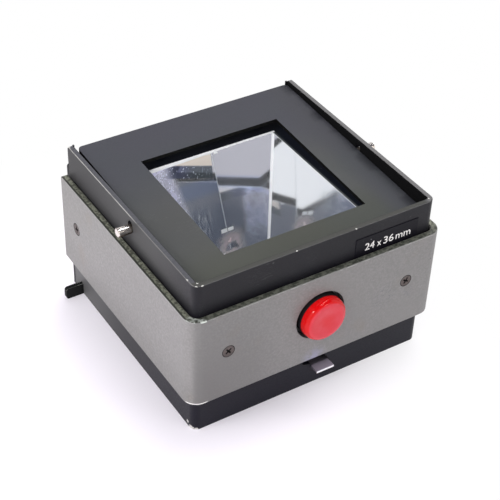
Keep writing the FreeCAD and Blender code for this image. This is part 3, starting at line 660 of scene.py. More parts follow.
def edge_glass(finish, glass, back, right):
    """Lightens the ground edges and seams, and paints the backs and upper ends of the mirrors."""
    finish.cover(finish.edges(0.75, 0.04, 0.09), glass.glass_edge, roughness=0.4)
    toward_back = finish.math("MULTIPLY_ADD", finish.z, -MIRROR_LEAN, finish.y)
    corner = toward_back.step(shaft_middle + mm(14.1), shaft_middle + mm(14.5))
    finish.cover(right * corner, (0.93, 0.93, 0.95), roughness=0.4, share=0.85)
    to_axis = finish.vector("SUBTRACT", (0.0, shaft_middle, 0.0), finish.place)
    finish.cover(finish.outward(to_axis).step(0.0005, -0.0005), glass.backing, roughness=0.6)
    top = finish.upward.step(0.8, 0.9)
    finish.cover(top, glass.backing, roughness=0.6)
    height = finish.math("MULTIPLY_ADD", finish.x, -TOP_FALL, finish.z)
    upper = back * height.step(shaft_top - mm(0.6), shaft_top - mm(0.3))
    face = finish.y.step(mirror_back_face, mirror_back_face + mm(0.02))
    finish.cover(upper | top * face, (0.97, 0.97, 0.99), roughness=0.35)


def silvered_mirror(glass):
    """Front-silvered glass: clear, but hazed, painted with reflections, stained and speckled on the back
    mirror, with bright seams.
    """
    finish = Finish("silvered_mirror", glass.silver, glass.gloss, metallic=1.0)
    back = finish.along.step(-0.3, -0.6)
    right = finish.across.step(-0.3, -0.6)
    slant = finish.math("MULTIPLY_ADD", finish.z, 0.25, finish.x)
    left_end = back * slant.ramp(-1.0, -6.0)
    finish.cover(0.012, glass.haze, roughness=0.5)
    dim_reflections_and_cloud_sides(finish, right)
    cloud_left_end(finish, back, left_end)
    dark_reflection = paint_reflections_and_stain_back(finish, back)
    speck_glass(finish, dark_reflection, left_end)
    edge_glass(finish, glass, back, right)
    return finish


def opal_sheet(glass):
    """Milky sheet under the film window that lets light through."""
    finish = Finish("opal_sheet", glass.opal, 0.30)
    finish.shader.inputs["Subsurface Weight"].default_value = 0.25
    finish.shader.inputs["Subsurface Radius"].default_value = mm(1.0, 0.8, 0.7)
    finish.lay(finish.mottle(80, 3, 0.45, 0.8), scaled(glass.opal, 0.93))
    finish.lay(finish.dots(300, 0.05, 0.18), (0.45, 0.40, 0.36), roughness=0.7)
    finish.lift(finish.noise(500, 2), 0.004)
    return finish


# ---------------------------------------------------------------- metals

def turned_metal(name, colour, roughness, axis, pitch, tarnish):
    """Plated or turned metal with fine tool rings square to an axis."""
    finish = Finish(name, colour, roughness, metallic=1.0)
    along = (finish.x, finish.y, finish.z)[axis]
    finish.lift(finish.math("SINE", along * (2.0 * math.pi / mm(pitch))), 0.0015)
    finish.lay(finish.mottle(420, 4, 0.5, 0.8), tarnish, roughness=roughness + 0.15)
    finish.lay(finish.edges(0.15), scaled(colour, 1.15), roughness=roughness * 0.8)
    finish.lift(finish.noise(1800, 2), 0.002)
    return finish


def rolled_metal(name, colour, roughness, stretch, tarnish):
    """Sheet or drawn metal with a grain along one direction and rubbed edges."""
    finish = Finish(name, colour, roughness, metallic=1.0)
    grain = finish.noise(500, 3, stretch)
    finish.lay(grain.step(0.35, 0.75), scaled(colour, 0.82), roughness=roughness + 0.10)
    finish.lay(finish.mottle(90, 4, 0.5, 0.75), tarnish, roughness=roughness + 0.2, share=0.6)
    finish.lay(finish.edges(0.12), scaled(colour, 1.3), roughness=roughness * 0.7)
    finish.lift(grain, 0.003)
    finish.lay(finish.dots(700, 0.04, 0.2), scaled(tarnish, 0.7), roughness=0.6)
    return finish


def latch_sheet(metal):
    """Dull rolled steel, its top before the housing painted lighter as lit, and a painted highlight on its
    sheared front edge.
    """
    finish = rolled_metal("latch_steel", metal.latch, 0.58, (1.0, 10.0, 10.0), (0.20, 0.18, 0.20))
    # Painted light: the top in front of the housing is laid a lighter, non-metal grey.
    lit_shelf = finish.upward.step(0.6, 0.9) * finish.y.step(housing_low.y + mm(1.0), housing_low.y)
    finish.cover(lit_shelf, (0.30, 0.26, 0.32), roughness=0.6)
    # Painted highlight: the front edge is laid near white.
    tip_highlight = finish.along.step(-0.6, -0.9) * finish.y.step(band_low.y + mm(0.3), band_low.y + mm(0.1))
    finish.cover(tip_highlight, (0.97, 0.96, 0.97), roughness=0.45)
    return finish


def browned_screw(metal):
    """Browned steel with a painted shade ring round the head, a darkened recess and lighter rubbed patches.
    """
    finish = Finish("browned_screw_steel", metal.screw, 0.45, metallic=0.55)
    finish.lay(finish.mottle(700, 4, 0.4, 0.7), scaled(metal.screw, 0.8), roughness=0.55)
    finish.lay(finish.mottle(900, 3, 0.5, 0.75), scaled(metal.screw, 1.5), share=0.4)
    spot = finish.node("ShaderNodeAttribute", attribute_name="spot").outputs["Vector"]
    reach = finish.vector("LENGTH", finish.vector("MULTIPLY", spot, LEVEL_PLANE))
    # Painted shade of the gap in a ring round the head; the recess is laid near black too.
    ring_shade_and_dark_recess = reach.step(0.82, 0.93) | finish.parts(spot)[2].step(-0.02, -0.15)
    finish.cover(ring_shade_and_dark_recess, (0.012, 0.010, 0.010), roughness=0.9)
    finish.lift(finish.noise(1600, 3), 0.006)
    return finish


def side_pin(metal):
    """Nickel pin with two bright streaks split by a painted dark reflection band, a painted dark reflection
    below and darker brown at its root.
    """
    finish = turned_metal("nickel_pin", metal.nickel, 0.20, 0, 0.25, (0.55, 0.42, 0.34))
    # Painted reflection: the underside is laid dark brown, as it mirrors the dark below.
    finish.lay(finish.upward.step(0.05, -0.35), (0.16, 0.11, 0.08), roughness=0.45)
    root = abs(finish.x).step(housing_high.x + mm(1.3), housing_high.x + mm(0.2))
    finish.lay(root, (0.10, 0.07, 0.05), roughness=0.6, share=0.85)
    # Painted reflection: a dark band along the upper side splits the bright streaks.
    dark_reflection_band = abs(finish.upward - 0.62)
    finish.lay(dark_reflection_band.step(0.12, 0.05), (0.30, 0.24, 0.20), roughness=0.4, share=0.6)
    return finish


# ---------------------------------------------------------------- plastics, rubber and label

def red_plastic(button):
    """Glossy red plastic with a faintly rubbed face and dust, and painted shade on the skirt in the hole."""
    finish = Finish("red_button_plastic", button.colour, button.roughness, ior=1.36)
    face = finish.y.step(cap_low.y + mm(0.55), cap_low.y + mm(0.15))
    finish.lay(face, (0.63, 0.030, 0.045), roughness=0.20)
    finish.lay(face * finish.mottle(130, 3, 0.3, 0.7), (0.64, 0.052, 0.075), roughness=0.26)
    finish.lay(finish.dots(500, 0.01, 0.12), (0.80, 0.35, 0.35), roughness=0.6, share=0.5)
    finish.lift(finish.noise(1700, 2), 0.0010)
    # Painted shade: the part of the skirt inside the band's hole is laid near black.
    shaded_skirt = finish.y.step(band_low.y - mm(1.1), band_low.y - mm(0.8))
    finish.lay(shaded_skirt, (0.006, 0.005, 0.006), roughness=0.6)
    return finish


def black_rubber():
    """Black rubber of the frame's stops."""
    finish = Finish("buffer_rubber", (0.025, 0.025, 0.027), 0.75)
    grain = finish.noise(900, 4)
    finish.lay(grain.step(0.4, 0.8), (0.05, 0.05, 0.05), roughness=0.9)
    finish.lay(finish.dots(600, 0.06, 0.2), (0.30, 0.30, 0.29))
    finish.lift(grain, 0.01)
    return finish


def black_acetal():
    """Black plastic of the guide that the button slides in."""
    finish = Finish("black_acetal", (0.011, 0.011, 0.013), 0.33)
    grain = finish.noise(1100, 3)
    finish.lay(grain.step(0.4, 0.8), (0.020, 0.020, 0.022), roughness=0.45)
    finish.lay(finish.dots(420, 0.03, 0.18), (0.22, 0.22, 0.22), roughness=0.7)
    finish.lift(grain, 0.003)
    return finish


def label_plate(label):
    """Dark ground of the size label."""
    finish = Finish("label_plate", label.plate, 0.30, ior=1.22)
    grain = finish.noise(1300, 3)
    finish.lay(grain.step(0.45, 0.8), scaled(label.plate, 1.5), roughness=0.42)
    finish.lay(finish.edges(0.1), (0.03, 0.03, 0.04), roughness=0.4)
    finish.lay(finish.dots(500, 0.01, 0.14), (0.20, 0.20, 0.21))
    finish.lift(grain, 0.002)
    return finish


def white_ink(label):
    """Ink of the figures on the label."""
    finish = Finish("white_ink", label.ink, 0.5)
    finish.lay(finish.mottle(1500, 3, 0.55, 0.75), scaled(label.ink, 0.72), roughness=0.62)
    finish.lift(finish.noise(2500, 2), 0.002)
    return finish


# ---------------------------------------------------------------- mesh helpers

SMOOTH_ANGLE = 35.0
LATHE_TURNS = 96


def dress(finish, *nodes):
    """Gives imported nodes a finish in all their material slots."""
    material = finish.done()
    for name in nodes:
        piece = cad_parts[name]
        if not piece.material_slots:
            piece.data.materials.append(None)
        for slot in piece.material_slots:
            slot.material = material


def add_piece(name, mesh, body, replaced=()):
    """Puts a finished mesh in the scene as a piece that rides on a body."""
    piece = bpy.data.objects.new(name, mesh)
    bpy.context.scene.collection.objects.link(piece)
    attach(piece, body)
    if replaced:
        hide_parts(*replaced)
    return piece


def arc(centre, radius, start, end, steps):
    """Points of an arc in the plane of a lathe profile, angles in degrees."""
    points = []
    for step in range(steps + 1):
        angle = math.radians(start + (end - start) * step / steps)
        points.append((centre[0] + radius * math.cos(angle), centre[1] + radius * math.sin(angle)))
    return points


def lathe(name, profile, centre):
    """Solid turned about an axis along Y. The profile gives radius and depth along the axis."""
    work = bmesh.new()
    rows = [work.verts.new((radius, depth, 0.0)) for radius, depth in profile]
    chain = [work.edges.new(pair) for pair in zip(rows, rows[1:])]
    bmesh.ops.spin(work, geom=rows + chain, cent=(0, 0, 0), axis=(0, 1, 0),
                   angle=2 * math.pi, steps=LATHE_TURNS, use_merge=True)
    bmesh.ops.remove_doubles(work, verts=work.verts, dist=SAME_POINT)
    bmesh.ops.recalc_face_normals(work, faces=work.faces)
    bmesh.ops.translate(work, verts=work.verts, vec=centre)
    mesh = bpy.data.meshes.new(name)
    work.to_mesh(mesh)
    work.free()
    for polygon in mesh.polygons:
        polygon.use_smooth = True
    mesh.set_sharp_from_angle(angle=math.radians(SMOOTH_ANGLE))
    return mesh


def merged(mesh):
    """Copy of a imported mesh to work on, with its loose triangles joined at their corners."""
    work = bmesh.new()
    work.from_mesh(mesh)
    bmesh.ops.remove_doubles(work, verts=work.verts, dist=SAME_POINT)
    return work


def merged_copy(node):
    """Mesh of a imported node, joined up and with its material."""
    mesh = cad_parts[node].data.copy()
    work = merged(mesh)
    work.to_mesh(mesh)
    work.free()
    return mesh


def islands(node):
    """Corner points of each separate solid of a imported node."""
    work = merged(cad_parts[node].data)
    left, found = set(work.verts), []
    while left:
        wave, island = [left.pop()], []
        while wave:
            vertex = wave.pop()
            island.append(vertex.co.copy())
            for edge in vertex.link_edges:
                other = edge.other_vert(vertex)
                if other in left:
                    left.remove(other)
                    wave.append(other)
        found.append(island)
    work.free()
    return found


def corners(points):
    """Lowest and highest corner of some points."""
    return [Vector([pick(point[axis] for point in points) for axis in range(3)]) for pick in (min, max)]


def screw_place(points):
    """Middle of the head's face, outward direction, head diameter and length of one screw."""
    low, high = corners(points)
    size = high - low
    axis = min(range(3), key=lambda k: abs(size[k - 1] - size[k - 2]))
    middle = (low + high) / 2
    reach = {}
    for side, end in ((-1, low), (1, high)):
        ring = [point - middle for point in points if abs(point[axis] - end[axis]) < mm(0.05)]
        reach[side] = max(math.hypot(spoke[axis - 1], spoke[axis - 2]) for spoke in ring)
    side = max(reach, key=reach.get)
    start, outward = middle.copy(), Vector()
    start[axis] = (high if side > 0 else low)[axis]
    outward[axis] = side
    return start, outward, 2 * reach[side], size[axis]


# ---------------------------------------------------------------- screws by geometry nodes

class ShapeTree(NodeTree):
    """A geometry node tree with named inputs."""

    def __init__(self, name, sizes):
        super().__init__(bpy.data.node_groups.new(name, "GeometryNodeTree"))
        self.sockets = {}
        self.add_input("Geometry", "NodeSocketGeometry")
        for size in sizes:
            self.add_input(size, "NodeSocketFloat")
        self.add_input("Finish", "NodeSocketMaterial")
        self.tree.interface.new_socket("Geometry", in_out="OUTPUT", socket_type="NodeSocketGeometry")
        self.given = {given.name: Mask(self, given) for given in self.node("NodeGroupInput").outputs}

    def add_input(self, name, kind):
        socket = self.tree.interface.new_socket(name, in_out="INPUT", socket_type=kind)
        self.sockets[name] = socket.identifier

    def shape(self, kind, out=0, settings=None, **inputs):
        """Output of a new node with the inputs fed by name. An underscore stands for a space."""
        made = self.node(kind, **(settings or {}))
        for name, value in inputs.items():
            self.feed(made.inputs[name.replace("_", " ")], value)
        return made.outputs[out]

    def moved(self, mesh, z):
        offset = self.shape("ShaderNodeCombineXYZ", Z=z)
        return self.shape("GeometryNodeTransform", Geometry=mesh, Translation=offset)

    def marked(self, mesh, name, value):
        """Stores a vector on every point of a mesh, for its finish to read."""
        settings = {"data_type": "FLOAT_VECTOR", "domain": "POINT"}
        return self.shape("GeometryNodeStoreNamedAttribute", settings=settings,
                          Geometry=mesh, Name=name, Value=value)

    def stored(self, name, kind):
        """A value that each point carries."""
        return self.shape("GeometryNodeInputNamedAttribute", settings={"data_type": kind}, Name=name)

    def joined(self, *meshes):
        made = self.node("GeometryNodeJoinGeometry")
        for mesh in meshes:
            self.tree.links.new(mesh, made.inputs[0])
        return made.outputs[0]


SCREW_SIZES = ("Head Diameter", "Head Height", "Shank Diameter", "Screw Length",
               "Recess Length", "Recess Width", "Recess Depth")
HEAD_SIDES, SHANK_SIDES, WELL_SIDES = 48, 32, 24
# Shares of the recess's depth that its two arm pairs and its well have, and of its width that the well has
ARM_DEPTHS = (1.0, 0.93)
WELL_DEPTH = 1.1
WELL_RADIUS = 0.85
# Turn of the cross of the first screw of a node, and how much further each next one is turned
FIRST_TWIST = 0.35
NEXT_TWIST = 1.9


def cut_recess(t, head):
    """Cuts the cross and its round well into the face of a screw head."""
    g = t.given
    depth = g["Recess Depth"] * 2.0
    cut = t.node("GeometryNodeMeshBoolean", operation="DIFFERENCE")
    t.tree.links.new(head, cut.inputs[0])
    for x, y, share in (("Recess Length", "Recess Width", ARM_DEPTHS[0]),
                        ("Recess Width", "Recess Length", ARM_DEPTHS[1])):
        size = t.shape("ShaderNodeCombineXYZ", X=g[x], Y=g[y], Z=depth * share)
        t.tree.links.new(t.shape("GeometryNodeMeshCube", Size=size), cut.inputs[1])
    well = t.shape("GeometryNodeMeshCylinder", Vertices=WELL_SIDES, Radius=g["Recess Width"] * WELL_RADIUS,
                   Depth=depth * WELL_DEPTH)
    t.tree.links.new(well, cut.inputs[1])
    return cut.outputs[0]


def screw_tree():
    """Countersunk cross-head screws on points, head face at the point, along 'outward'."""
    t = ShapeTree("countersunk_screws", SCREW_SIZES)
    g = t.given
    head_radius = g["Head Diameter"] * 0.5
    shank_radius = g["Shank Diameter"] * 0.5
    drop = g["Head Height"] * -1.0
    head = t.moved(t.shape("GeometryNodeMeshCone", Vertices=HEAD_SIDES, Radius_Top=head_radius,
                           Radius_Bottom=shank_radius, Depth=g["Head Height"]), drop)
    shank_length = g["Screw Length"] - g["Head Height"]
    shank = t.shape("GeometryNodeMeshCylinder", Vertices=SHANK_SIDES, Radius=shank_radius, Depth=shank_length)
    shank_middle = drop - shank_length * 0.5
    share = t.shape("ShaderNodeCombineXYZ", X=head_radius, Y=head_radius, Z=g["Recess Depth"])
    place = t.vector("DIVIDE", t.node("GeometryNodeInputPosition").outputs[0], share)
    head = t.marked(cut_recess(t, head), "spot", place)
    screw = t.joined(head, t.moved(shank, shank_middle))
    facing = t.shape("FunctionNodeAlignRotationToVector", settings={"axis": "Z"},
                     Vector=t.stored("outward", "FLOAT_VECTOR"))
    twist = t.shape("ShaderNodeCombineXYZ", Z=t.stored("twist", "FLOAT"))
    turn = t.shape("FunctionNodeEulerToRotation", Euler=twist)
    rotation = t.shape("FunctionNodeRotateRotation", settings={"rotation_space": "LOCAL"},
                       Rotation=facing, Rotate_By=turn)
    screws = t.shape("GeometryNodeInstanceOnPoints", Points=g["Geometry"], Instance=screw, Rotation=rotation)
    plain = t.shape("GeometryNodeRealizeInstances", Geometry=screws)
    finished = t.shape("GeometryNodeSetMaterial", Geometry=plain, Material=g["Finish"])
    t.tree.links.new(finished, t.node("NodeGroupOutput").inputs[0])
    return t


def make_screws(tree, node, body, settings, material):
    """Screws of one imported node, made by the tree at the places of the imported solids."""
    places = [screw_place(points) for points in islands(node)]
    places.sort(key=lambda place: tuple(round(value, 5) for value in place[0]))
    mesh = bpy.data.meshes.new(node + "_points")
    mesh.from_pydata([start for start, *_ in places], [], [])
    mesh.attributes.new("outward", "FLOAT_VECTOR", "POINT")
    mesh.attributes.new("twist", "FLOAT", "POINT")
    for index, place in enumerate(places):
        mesh.attributes["outward"].data[index].vector = place[1]
        mesh.attributes["twist"].data[index].value = FIRST_TWIST + NEXT_TWIST * index
    points = bpy.data.objects.new(node + "_points", mesh)
    bpy.context.scene.collection.objects.link(points)
    modifier = points.modifiers.new("screws", "NODES")
    modifier.node_group = tree.tree
    values = {"Head Diameter": places[0][2], "Head Height": settings.head_height,
              "Shank Diameter": settings.shank_diameter, "Screw Length": places[0][3],
              "Recess Length": settings.recess_length, "Recess Width": settings.recess_width,
              "Recess Depth": settings.recess_depth, "Finish": material}
    for name, value in values.items():
        modifier[tree.sockets[name]] = value
    evaluated = points.evaluated_get(bpy.context.evaluated_depsgraph_get())
    made = bpy.data.meshes.new_from_object(evaluated)
    bpy.data.objects.remove(points)
    made.name = node + "_cross_head"
    return add_piece(node + "_cross_head", made, body, [node])


# ---------------------------------------------------------------- operators


def make_leaf_spring(side):
    """Leaf spring as a piece of its own, riding on the casing."""
    node = "frame_spring_" + side
    leaf = add_piece("leaf_spring_" + side, merged_copy(node), "casing", [node])
    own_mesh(leaf)


class DressHousing(bpy.types.Operator):
    """Paints the housing, covers, bar and inner sheets black"""
    bl_idname = "mirror_box.dress_housing"
    bl_label = "Paint Housing"

    def execute(self, context):
        paint = context.scene.mirror_box.paint
        dress(housing_wear_and_light(paint), "inner_housing")
        cover = black_paint("satin_black_cover", paint, paint.housing_colour, paint.satin + 0.04, 0.02)
        dress(cover, "back_cover", "base_plate")
        dress(bar_wear_and_highlight(paint), "locating_bar")
        carrier = black_paint("matt_black_carrier", paint, (0.010, 0.012, 0.020), 0.6, 0.01)
        dress(carrier, "mirror_carrier", "exit_frame")
        return {"FINISHED"}


class DressBand(bpy.types.Operator):
    """Gives the band its grey hammer enamel"""
    bl_idname = "mirror_box.dress_band"
    bl_label = "Enamel Band"

    def execute(self, context):
        dress(band_enamel(context.scene.mirror_box.paint), "outer_band")
        return {"FINISHED"}


class DressMirrors(bpy.types.Operator):
    """Silvers the four mirrors and clouds the opal sheet"""
    bl_idname = "mirror_box.dress_mirrors"
    bl_label = "Silver Mirrors"

    def execute(self, context):
        glass = context.scene.mirror_box.glass
        dress(silvered_mirror(glass), "mirror_front", "mirror_right", "mirror_back", "mirror_left")
        dress(opal_sheet(glass), "diffuser")
        return {"FINISHED"}


class DressFrame(bpy.types.Operator):
    """Finishes the rocking frame, its pins, buffers, springs and rivets"""
    bl_idname = "mirror_box.dress_frame"
    bl_label = "Finish Rocking Frame"

    def execute(self, context):
        settings = context.scene.mirror_box
        metal = settings.metal
        dress(frame_paint(settings.paint), "top_frame")
        dress(side_pin(metal), "frame_pins")
        dress(black_rubber(), "frame_buffers")
        blued = rolled_metal("blued_leaf_spring", metal.spring, 0.30, (1.0, 12.0, 12.0), (0.22, 0.17, 0.14))
        dress(blued, "frame_spring_left", "frame_spring_right")
        for side in ("left", "right"):
            make_leaf_spring(side)
        brass = turned_metal("brass_rivet", metal.brass, 0.28, 2, 0.2, (0.42, 0.30, 0.14))
        dress(brass, "spring_rivets", "guide_rivets")
        return {"FINISHED"}


# Share of the dish's radius, and of its depth there
DISH_CURVE = ((0.0, 1.0), (0.3, 0.94), (0.6, 0.72), (0.85, 0.36), (1.0, 0.08))
NOSE_STEP = mm(0.2)
FACE_RING = mm(0.9)
DISH_RUNOUT = mm(0.35)
SHELL_WALL = mm(2.0)
SKIRT_EDGE = mm(0.3)
BOSS_RADIUS, BORE_RADIUS = mm(4.0, 2.0)
FACE_WALL, BORE_END, BOSS_END = mm(3.0, 5.0, 9.0)
RIM_STEPS = 12


class MakeButton(bpy.types.Operator):
    """Turns the red release button with its dished face"""
    bl_idname = "mirror_box.make_button"
    bl_label = "Make Release Button"

    def execute(self, context):
        button = context.scene.mirror_box.button
        radius, rim = button_radius, button.rim
        length = cap_high.y - cap_low.y
        rim_middle = radius - NOSE_STEP - rim
        inside = radius - SHELL_WALL
        dish = rim_middle - FACE_RING
        profile = [(dish * reach, button.dish * depth) for reach, depth in DISH_CURVE]
        profile.append((dish + DISH_RUNOUT, 0.0))
        profile += arc((rim_middle, rim), rim, -90, -4, RIM_STEPS)
        profile += [(radius, BORE_END), (radius, length - SKIRT_EDGE), (radius - SKIRT_EDGE, length),
                    (inside, length), (inside, FACE_WALL), (BOSS_RADIUS, FACE_WALL), (BOSS_RADIUS, BOSS_END),
                    (BORE_RADIUS, BOSS_END), (BORE_RADIUS, BORE_END), (0.0, BORE_END)]
        mesh = lathe("release_button", profile, (button_axis.x, cap_low.y, button_axis.z))
        mesh.materials.append(red_plastic(button).done())
        add_piece("release_button", mesh, "release", ["button_cap"])
        return {"FINISHED"}


class DressLatch(bpy.types.Operator):
    """Finishes the latch, plunger, spring, bracket, guide, posts and washers"""
    bl_idname = "mirror_box.dress_latch"
    bl_label = "Finish Latch and Fittings"

    def execute(self, context):
        metal = context.scene.mirror_box.metal
        dress(latch_sheet(metal), "latch_plate")
        plunger = turned_metal("plunger_steel", metal.latch, 0.22, 1, 0.2, (0.36, 0.33, 0.31))
        dress(plunger, "plunger_rod")
        zinc = rolled_metal("zinc_plate", metal.zinc, 0.36, (4.0, 4.0, 1.0), (0.45, 0.42, 0.30))
        dress(zinc, "spring_bracket", "band_spacers", "latch_nut")
        wire = rolled_metal("spring_wire", metal.spring, 0.24, (3.0, 1.0, 3.0), (0.25, 0.20, 0.17))
        dress(wire, "button_spring")
        drawn = rolled_metal("drawn_aluminium", metal.aluminium, 0.38, (10.0, 10.0, 1.0), (0.55, 0.55, 0.54))
        dress(drawn, "front_posts", "rear_posts")
        dress(black_acetal(), "button_guide")
        return {"FINISHED"}


class MakeScrews(bpy.types.Operator):
    """Places a cross-head screw at every imported screw"""
    bl_idname = "mirror_box.make_screws"
    bl_label = "Make Cross-Head Screws"

    def execute(self, context):
        settings = context.scene.mirror_box
        tree = screw_tree()
        material = browned_screw(settings.metal).done()
        for holder in ("band", "back", "base", "carrier", "exit", "bracket"):
            make_screws(tree, holder + "_screws", "casing", settings.screws, material)
        return {"FINISHED"}


# Start and end of each word as shares of the line
WORD_SPANS = ((0.0, 0.205), (0.264, 0.352), (0.403, 0.625), (0.672, 1.0))
INK_THICKNESS = mm(0.06)
LINE_SHIFT, LINE_LIFT = mm(0.5, 0.25)


def word_mesh(word, context):
    """Letters of one word as a thin solid, on the baseline."""
    curve = bpy.data.curves.new(word, "FONT")
    curve.body = word
    curve.offset = 0.005
    curve.resolution_u = 6
    curve.extrude = 0.01
    writing = bpy.data.objects.new(word, curve)
    context.scene.collection.objects.link(writing)
    mesh = bpy.data.meshes.new_from_object(writing.evaluated_get(context.evaluated_depsgraph_get()))
    bpy.data.objects.remove(writing)
    mesh.materials.clear()
    return mesh


class MakeLabel(bpy.types.Operator):
    """Finishes the label plate and prints the film format on it"""
    bl_idname = "mirror_box.make_label"
    bl_label = "Print Format Label"

    def execute(self, context):
        label = context.scene.mirror_box.label
        dress(label_plate(label), "size_label")
        left = (label_low.x + label_high.x) / 2 - label.width / 2 + LINE_SHIFT
        foot = (label_low.z + label_high.z) / 2 - label.height / 2 + LINE_LIFT
        joined, upward = bmesh.new(), None
        for word, (start, end) in zip(label.text.split(), WORD_SPANS):
            mesh = word_mesh(word, context)
            low, high = corners([vertex.co for vertex in mesh.vertices])
            across = label.width * (end - start) / (high[0] - low[0])
            upward = upward or label.height / (high[1] - low[1])
            thick = INK_THICKNESS / (high[2] - low[2])
            for vertex in mesh.vertices:
                x, y, z = vertex.co
                vertex.co = (left + label.width * start + (x - low[0]) * across,
                             label_low.y - (z - low[2]) * thick, foot + y * upward)
            joined.from_mesh(mesh)
        mesh = bpy.data.meshes.new("format_figures")
        joined.to_mesh(mesh)
        joined.free()
        mesh.materials.append(white_ink(label).done())
        add_piece("format_figures", mesh, "casing")
        return {"FINISHED"}


# ---------------------------------------------------------------- studio

FLOOR_HALF = 3.0
FLOOR_DROP = mm(0.05)
SHADOW_MIDDLE = (-66.0, -6.0, 0.0)
SHADOW_REACH = (50.0, 165.0)
FLOOR_GLOW = (0.10, 1.0)

# Directions in which the shiny wall is highest and dimmest, and the rises in degrees where it ends
HIGH_WALL = (0.545, 0.839, 0.0)
DIM_WALL = (-0.53, 0.85, 0.0)
WALL_END = (33.5, 38.5)
WALL_RISE = 22.0

# Setting of the power, name, place, size, whether it shows in glossy surfaces, whether it lights matt ones
LAMPS = (("key", "left_softbox", (-0.90, -0.10, 0.75), (0.70, 0.70), False, True),
         ("top", "top_softbox", (0.40, 0.32, 1.10), (0.80, 0.80), False, True),
         ("fill", "front_fill", (-0.70, -0.43, 0.66), (0.16, 0.16), True, True),
         ("fill", "side_fill", (0.52, -0.96, 0.64), (0.40, 0.09), True, True),
         ("tube", "top_tube", (0.20, -0.22, 1.10), (1.00, 0.07), True, False),
         ("spot", "left_spot", (-0.84, -0.29, 0.70), (0.12, 0.12), True, False))
LAMP_TARGET = Vector((0.0, 0.0, 0.04))

# Azimuth, rise and roll in degrees
CAMERA_ANGLES = (-33.524, 38.527, 2.481)
CAMERA_PLACE = mm(-236.4, -357.3, 377.1)
SENSOR_WIDTH = 36.0
NEAREST_SEEN = 0.01


def make_floor(studio):
    """White paper. It stays white for the camera and keeps the soft shadow of the object."""
    mesh = bpy.data.meshes.new("floor")
    turns = ((-1, -1), (1, -1), (1, 1), (-1, 1))
    mesh.from_pydata([(FLOOR_HALF * x, FLOOR_HALF * y, -FLOOR_DROP) for x, y in turns], [], [(0, 1, 2, 3)])
    floor = bpy.data.objects.new("floor", mesh)
    bpy.context.scene.collection.objects.link(floor)
    finish = Finish("floor_paper", studio.floor, 0.9)
    finish.shader.inputs["Specular IOR Level"].default_value = 0.0
    finish.lay(finish.mottle(3.0, 2, 0.3, 0.8), scaled(studio.floor, 1.02))
    mesh.materials.append(finish.done())
    glow = finish.node("ShaderNodeEmission")
    rays = finish.node("ShaderNodeLightPath").outputs
    seen = finish.either(rays["Is Camera Ray"], rays["Is Glossy Ray"], rays["Is Transmission Ray"])
    away = finish.vector("DISTANCE", finish.place, mm(*SHADOW_MIDDLE)).ramp(*SHADOW_REACH)
    share = seen * away.mixed(*FLOOR_GLOW)
    blend = finish.fed("ShaderNodeMixShader", (share, finish.shader.outputs[0], glow.outputs[0]))
    finish.feed(finish.tree.nodes["Material Output"].inputs["Surface"], blend.outputs[0])


def make_sky(studio):
    """Even light for matt surfaces and white behind. Shiny ones see a bright wall and a blue-grey ceiling."""
    world = bpy.data.worlds.new("studio_sky")
    bpy.context.scene.world = world
    world.use_nodes = True
    sky = NodeTree(world.node_tree)
    sky.tree.nodes.clear()
    direction = sky.vector("NORMALIZE", sky.node("ShaderNodeTexCoord").outputs["Generated"])
    height = sky.math("DEGREES", sky.math("ARCSINE", sky.parts(direction)[2]))
    toward = sky.vector("DOT_PRODUCT", direction, HIGH_WALL) | 0.0
    level = height - toward * toward * WALL_RISE
    left = sky.vector("DOT_PRODUCT", direction, DIM_WALL).step(0.55, 0.85)
    low = height.step(25.0, 18.0) * toward.step(0.75, 0.85)
    wall = left.mixed((1.0, 1.0, 0.99), (0.52, 0.505, 0.545))
    wall = low.mixed(wall, (0.50, 0.50, 0.57))
    ceiling = height.step(40.0, 62.0).mixed((0.092, 0.100, 0.128), (0.118, 0.130, 0.160))
    shiny = level.step(*WALL_END).mixed(wall, ceiling)
    rays = sky.node("ShaderNodeLightPath").outputs
    clear = sky.either(rays["Is Camera Ray"], rays["Is Transmission Ray"])
    colour = clear.mixed(sky.mixed(rays["Is Glossy Ray"], (0.97, 0.97, 1.0), shiny), (1.0, 1.0, 1.0))
    strength = sky.either(clear, rays["Is Glossy Ray"]).mixed(studio.sky, 1.0)
    light = sky.fed("ShaderNodeBackground", (colour, strength))
    sky.feed(sky.node("ShaderNodeOutputWorld").inputs["Surface"], light.outputs[0])


def add_lamp(power, name, place, size, glossy, matt):
    """Soft lamp aimed at the box, which shows in glossy surfaces, lights matt ones, or both."""
    lamp = bpy.data.lights.new(name, "AREA")
    lamp.shape = "RECTANGLE"
    lamp.size, lamp.size_y = size
    lamp.energy = power
    holder = bpy.data.objects.new(name, lamp)
    holder.location = place
    holder.rotation_euler = (LAMP_TARGET - Vector(place)).to_track_quat("-Z", "Y").to_euler()
    holder.visible_glossy = glossy
    holder.visible_diffuse = matt
    bpy.context.scene.collection.objects.link(holder)


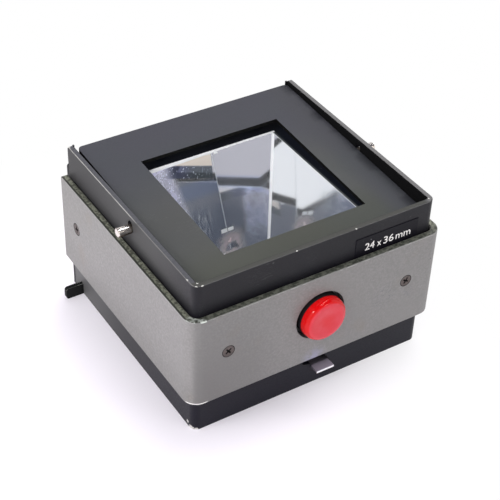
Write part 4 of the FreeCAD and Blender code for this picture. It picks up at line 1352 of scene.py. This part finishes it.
def add_camera(studio):
    """Camera at a place, turned by an azimuth, a rise and a roll in degrees."""
    azimuth, rise, roll = (math.radians(angle) for angle in CAMERA_ANGLES)
    back = Vector((math.sin(azimuth) * math.cos(rise), -math.cos(azimuth) * math.cos(rise), math.sin(rise)))
    right = Vector((math.cos(azimuth), math.sin(azimuth), 0.0))
    up = back.cross(right)
    across = right * math.cos(roll) + up * math.sin(roll)
    upward = up * math.cos(roll) - right * math.sin(roll)
    lens = bpy.data.cameras.new("camera")
    lens.lens = studio.lens
    lens.sensor_width = SENSOR_WIDTH
    lens.clip_start = NEAREST_SEEN
    holder = bpy.data.objects.new("camera", lens)
    bpy.context.scene.collection.objects.link(holder)
    axes = Matrix((across, upward, back)).transposed().to_4x4()
    holder.matrix_world = Matrix.Translation(CAMERA_PLACE) @ axes
    bpy.context.scene.camera = holder


class MakeStudio(bpy.types.Operator):
    """Lays the white floor and sets the lamps, the sky and the camera"""
    bl_idname = "mirror_box.make_studio"
    bl_label = "Set Up Studio"

    def execute(self, context):
        studio = context.scene.mirror_box.studio
        context.scene.view_settings.view_transform = "Standard"
        make_floor(studio)
        make_sky(studio)
        for setting, *lamp in LAMPS:
            add_lamp(getattr(studio, setting), *lamp)
        add_camera(studio)
        return {"FINISHED"}


# ---------------------------------------------------------------- panel and run

OPERATORS = (DressHousing, DressBand, DressMirrors, DressFrame, MakeButton, DressLatch,
             MakeScrews, MakeLabel, MakeStudio)


class MirrorBoxPanel(bpy.types.Panel):
    """Lists the steps that dress the mirror box"""
    bl_idname = "VIEW3D_PT_mirror_box"
    bl_label = "Mirror Box"
    bl_space_type = "VIEW_3D"
    bl_region_type = "UI"
    bl_category = "Mirror Box"

    def draw(self, context):
        for operator in OPERATORS:
            self.layout.operator(operator.bl_idname)


CLASSES = (PaintSettings, GlassSettings, ButtonSettings, MetalSettings, ScrewSettings, LabelSettings,
           StudioSettings, MirrorBoxSettings, *OPERATORS, MirrorBoxPanel)


def register():
    for item in CLASSES:
        bpy.utils.register_class(item)
    bpy.types.Scene.mirror_box = PointerProperty(type=MirrorBoxSettings)


def unregister():
    del bpy.types.Scene.mirror_box
    for item in reversed(CLASSES):
        bpy.utils.unregister_class(item)


def main():
    register()
    steps = bpy.ops.mirror_box
    steps.make_studio()
    steps.dress_housing()
    steps.dress_band()
    steps.dress_mirrors()
    steps.dress_frame()
    steps.make_button()
    steps.dress_latch()
    steps.make_screws()
    steps.make_label()


if __name__ == "__main__":
    main()
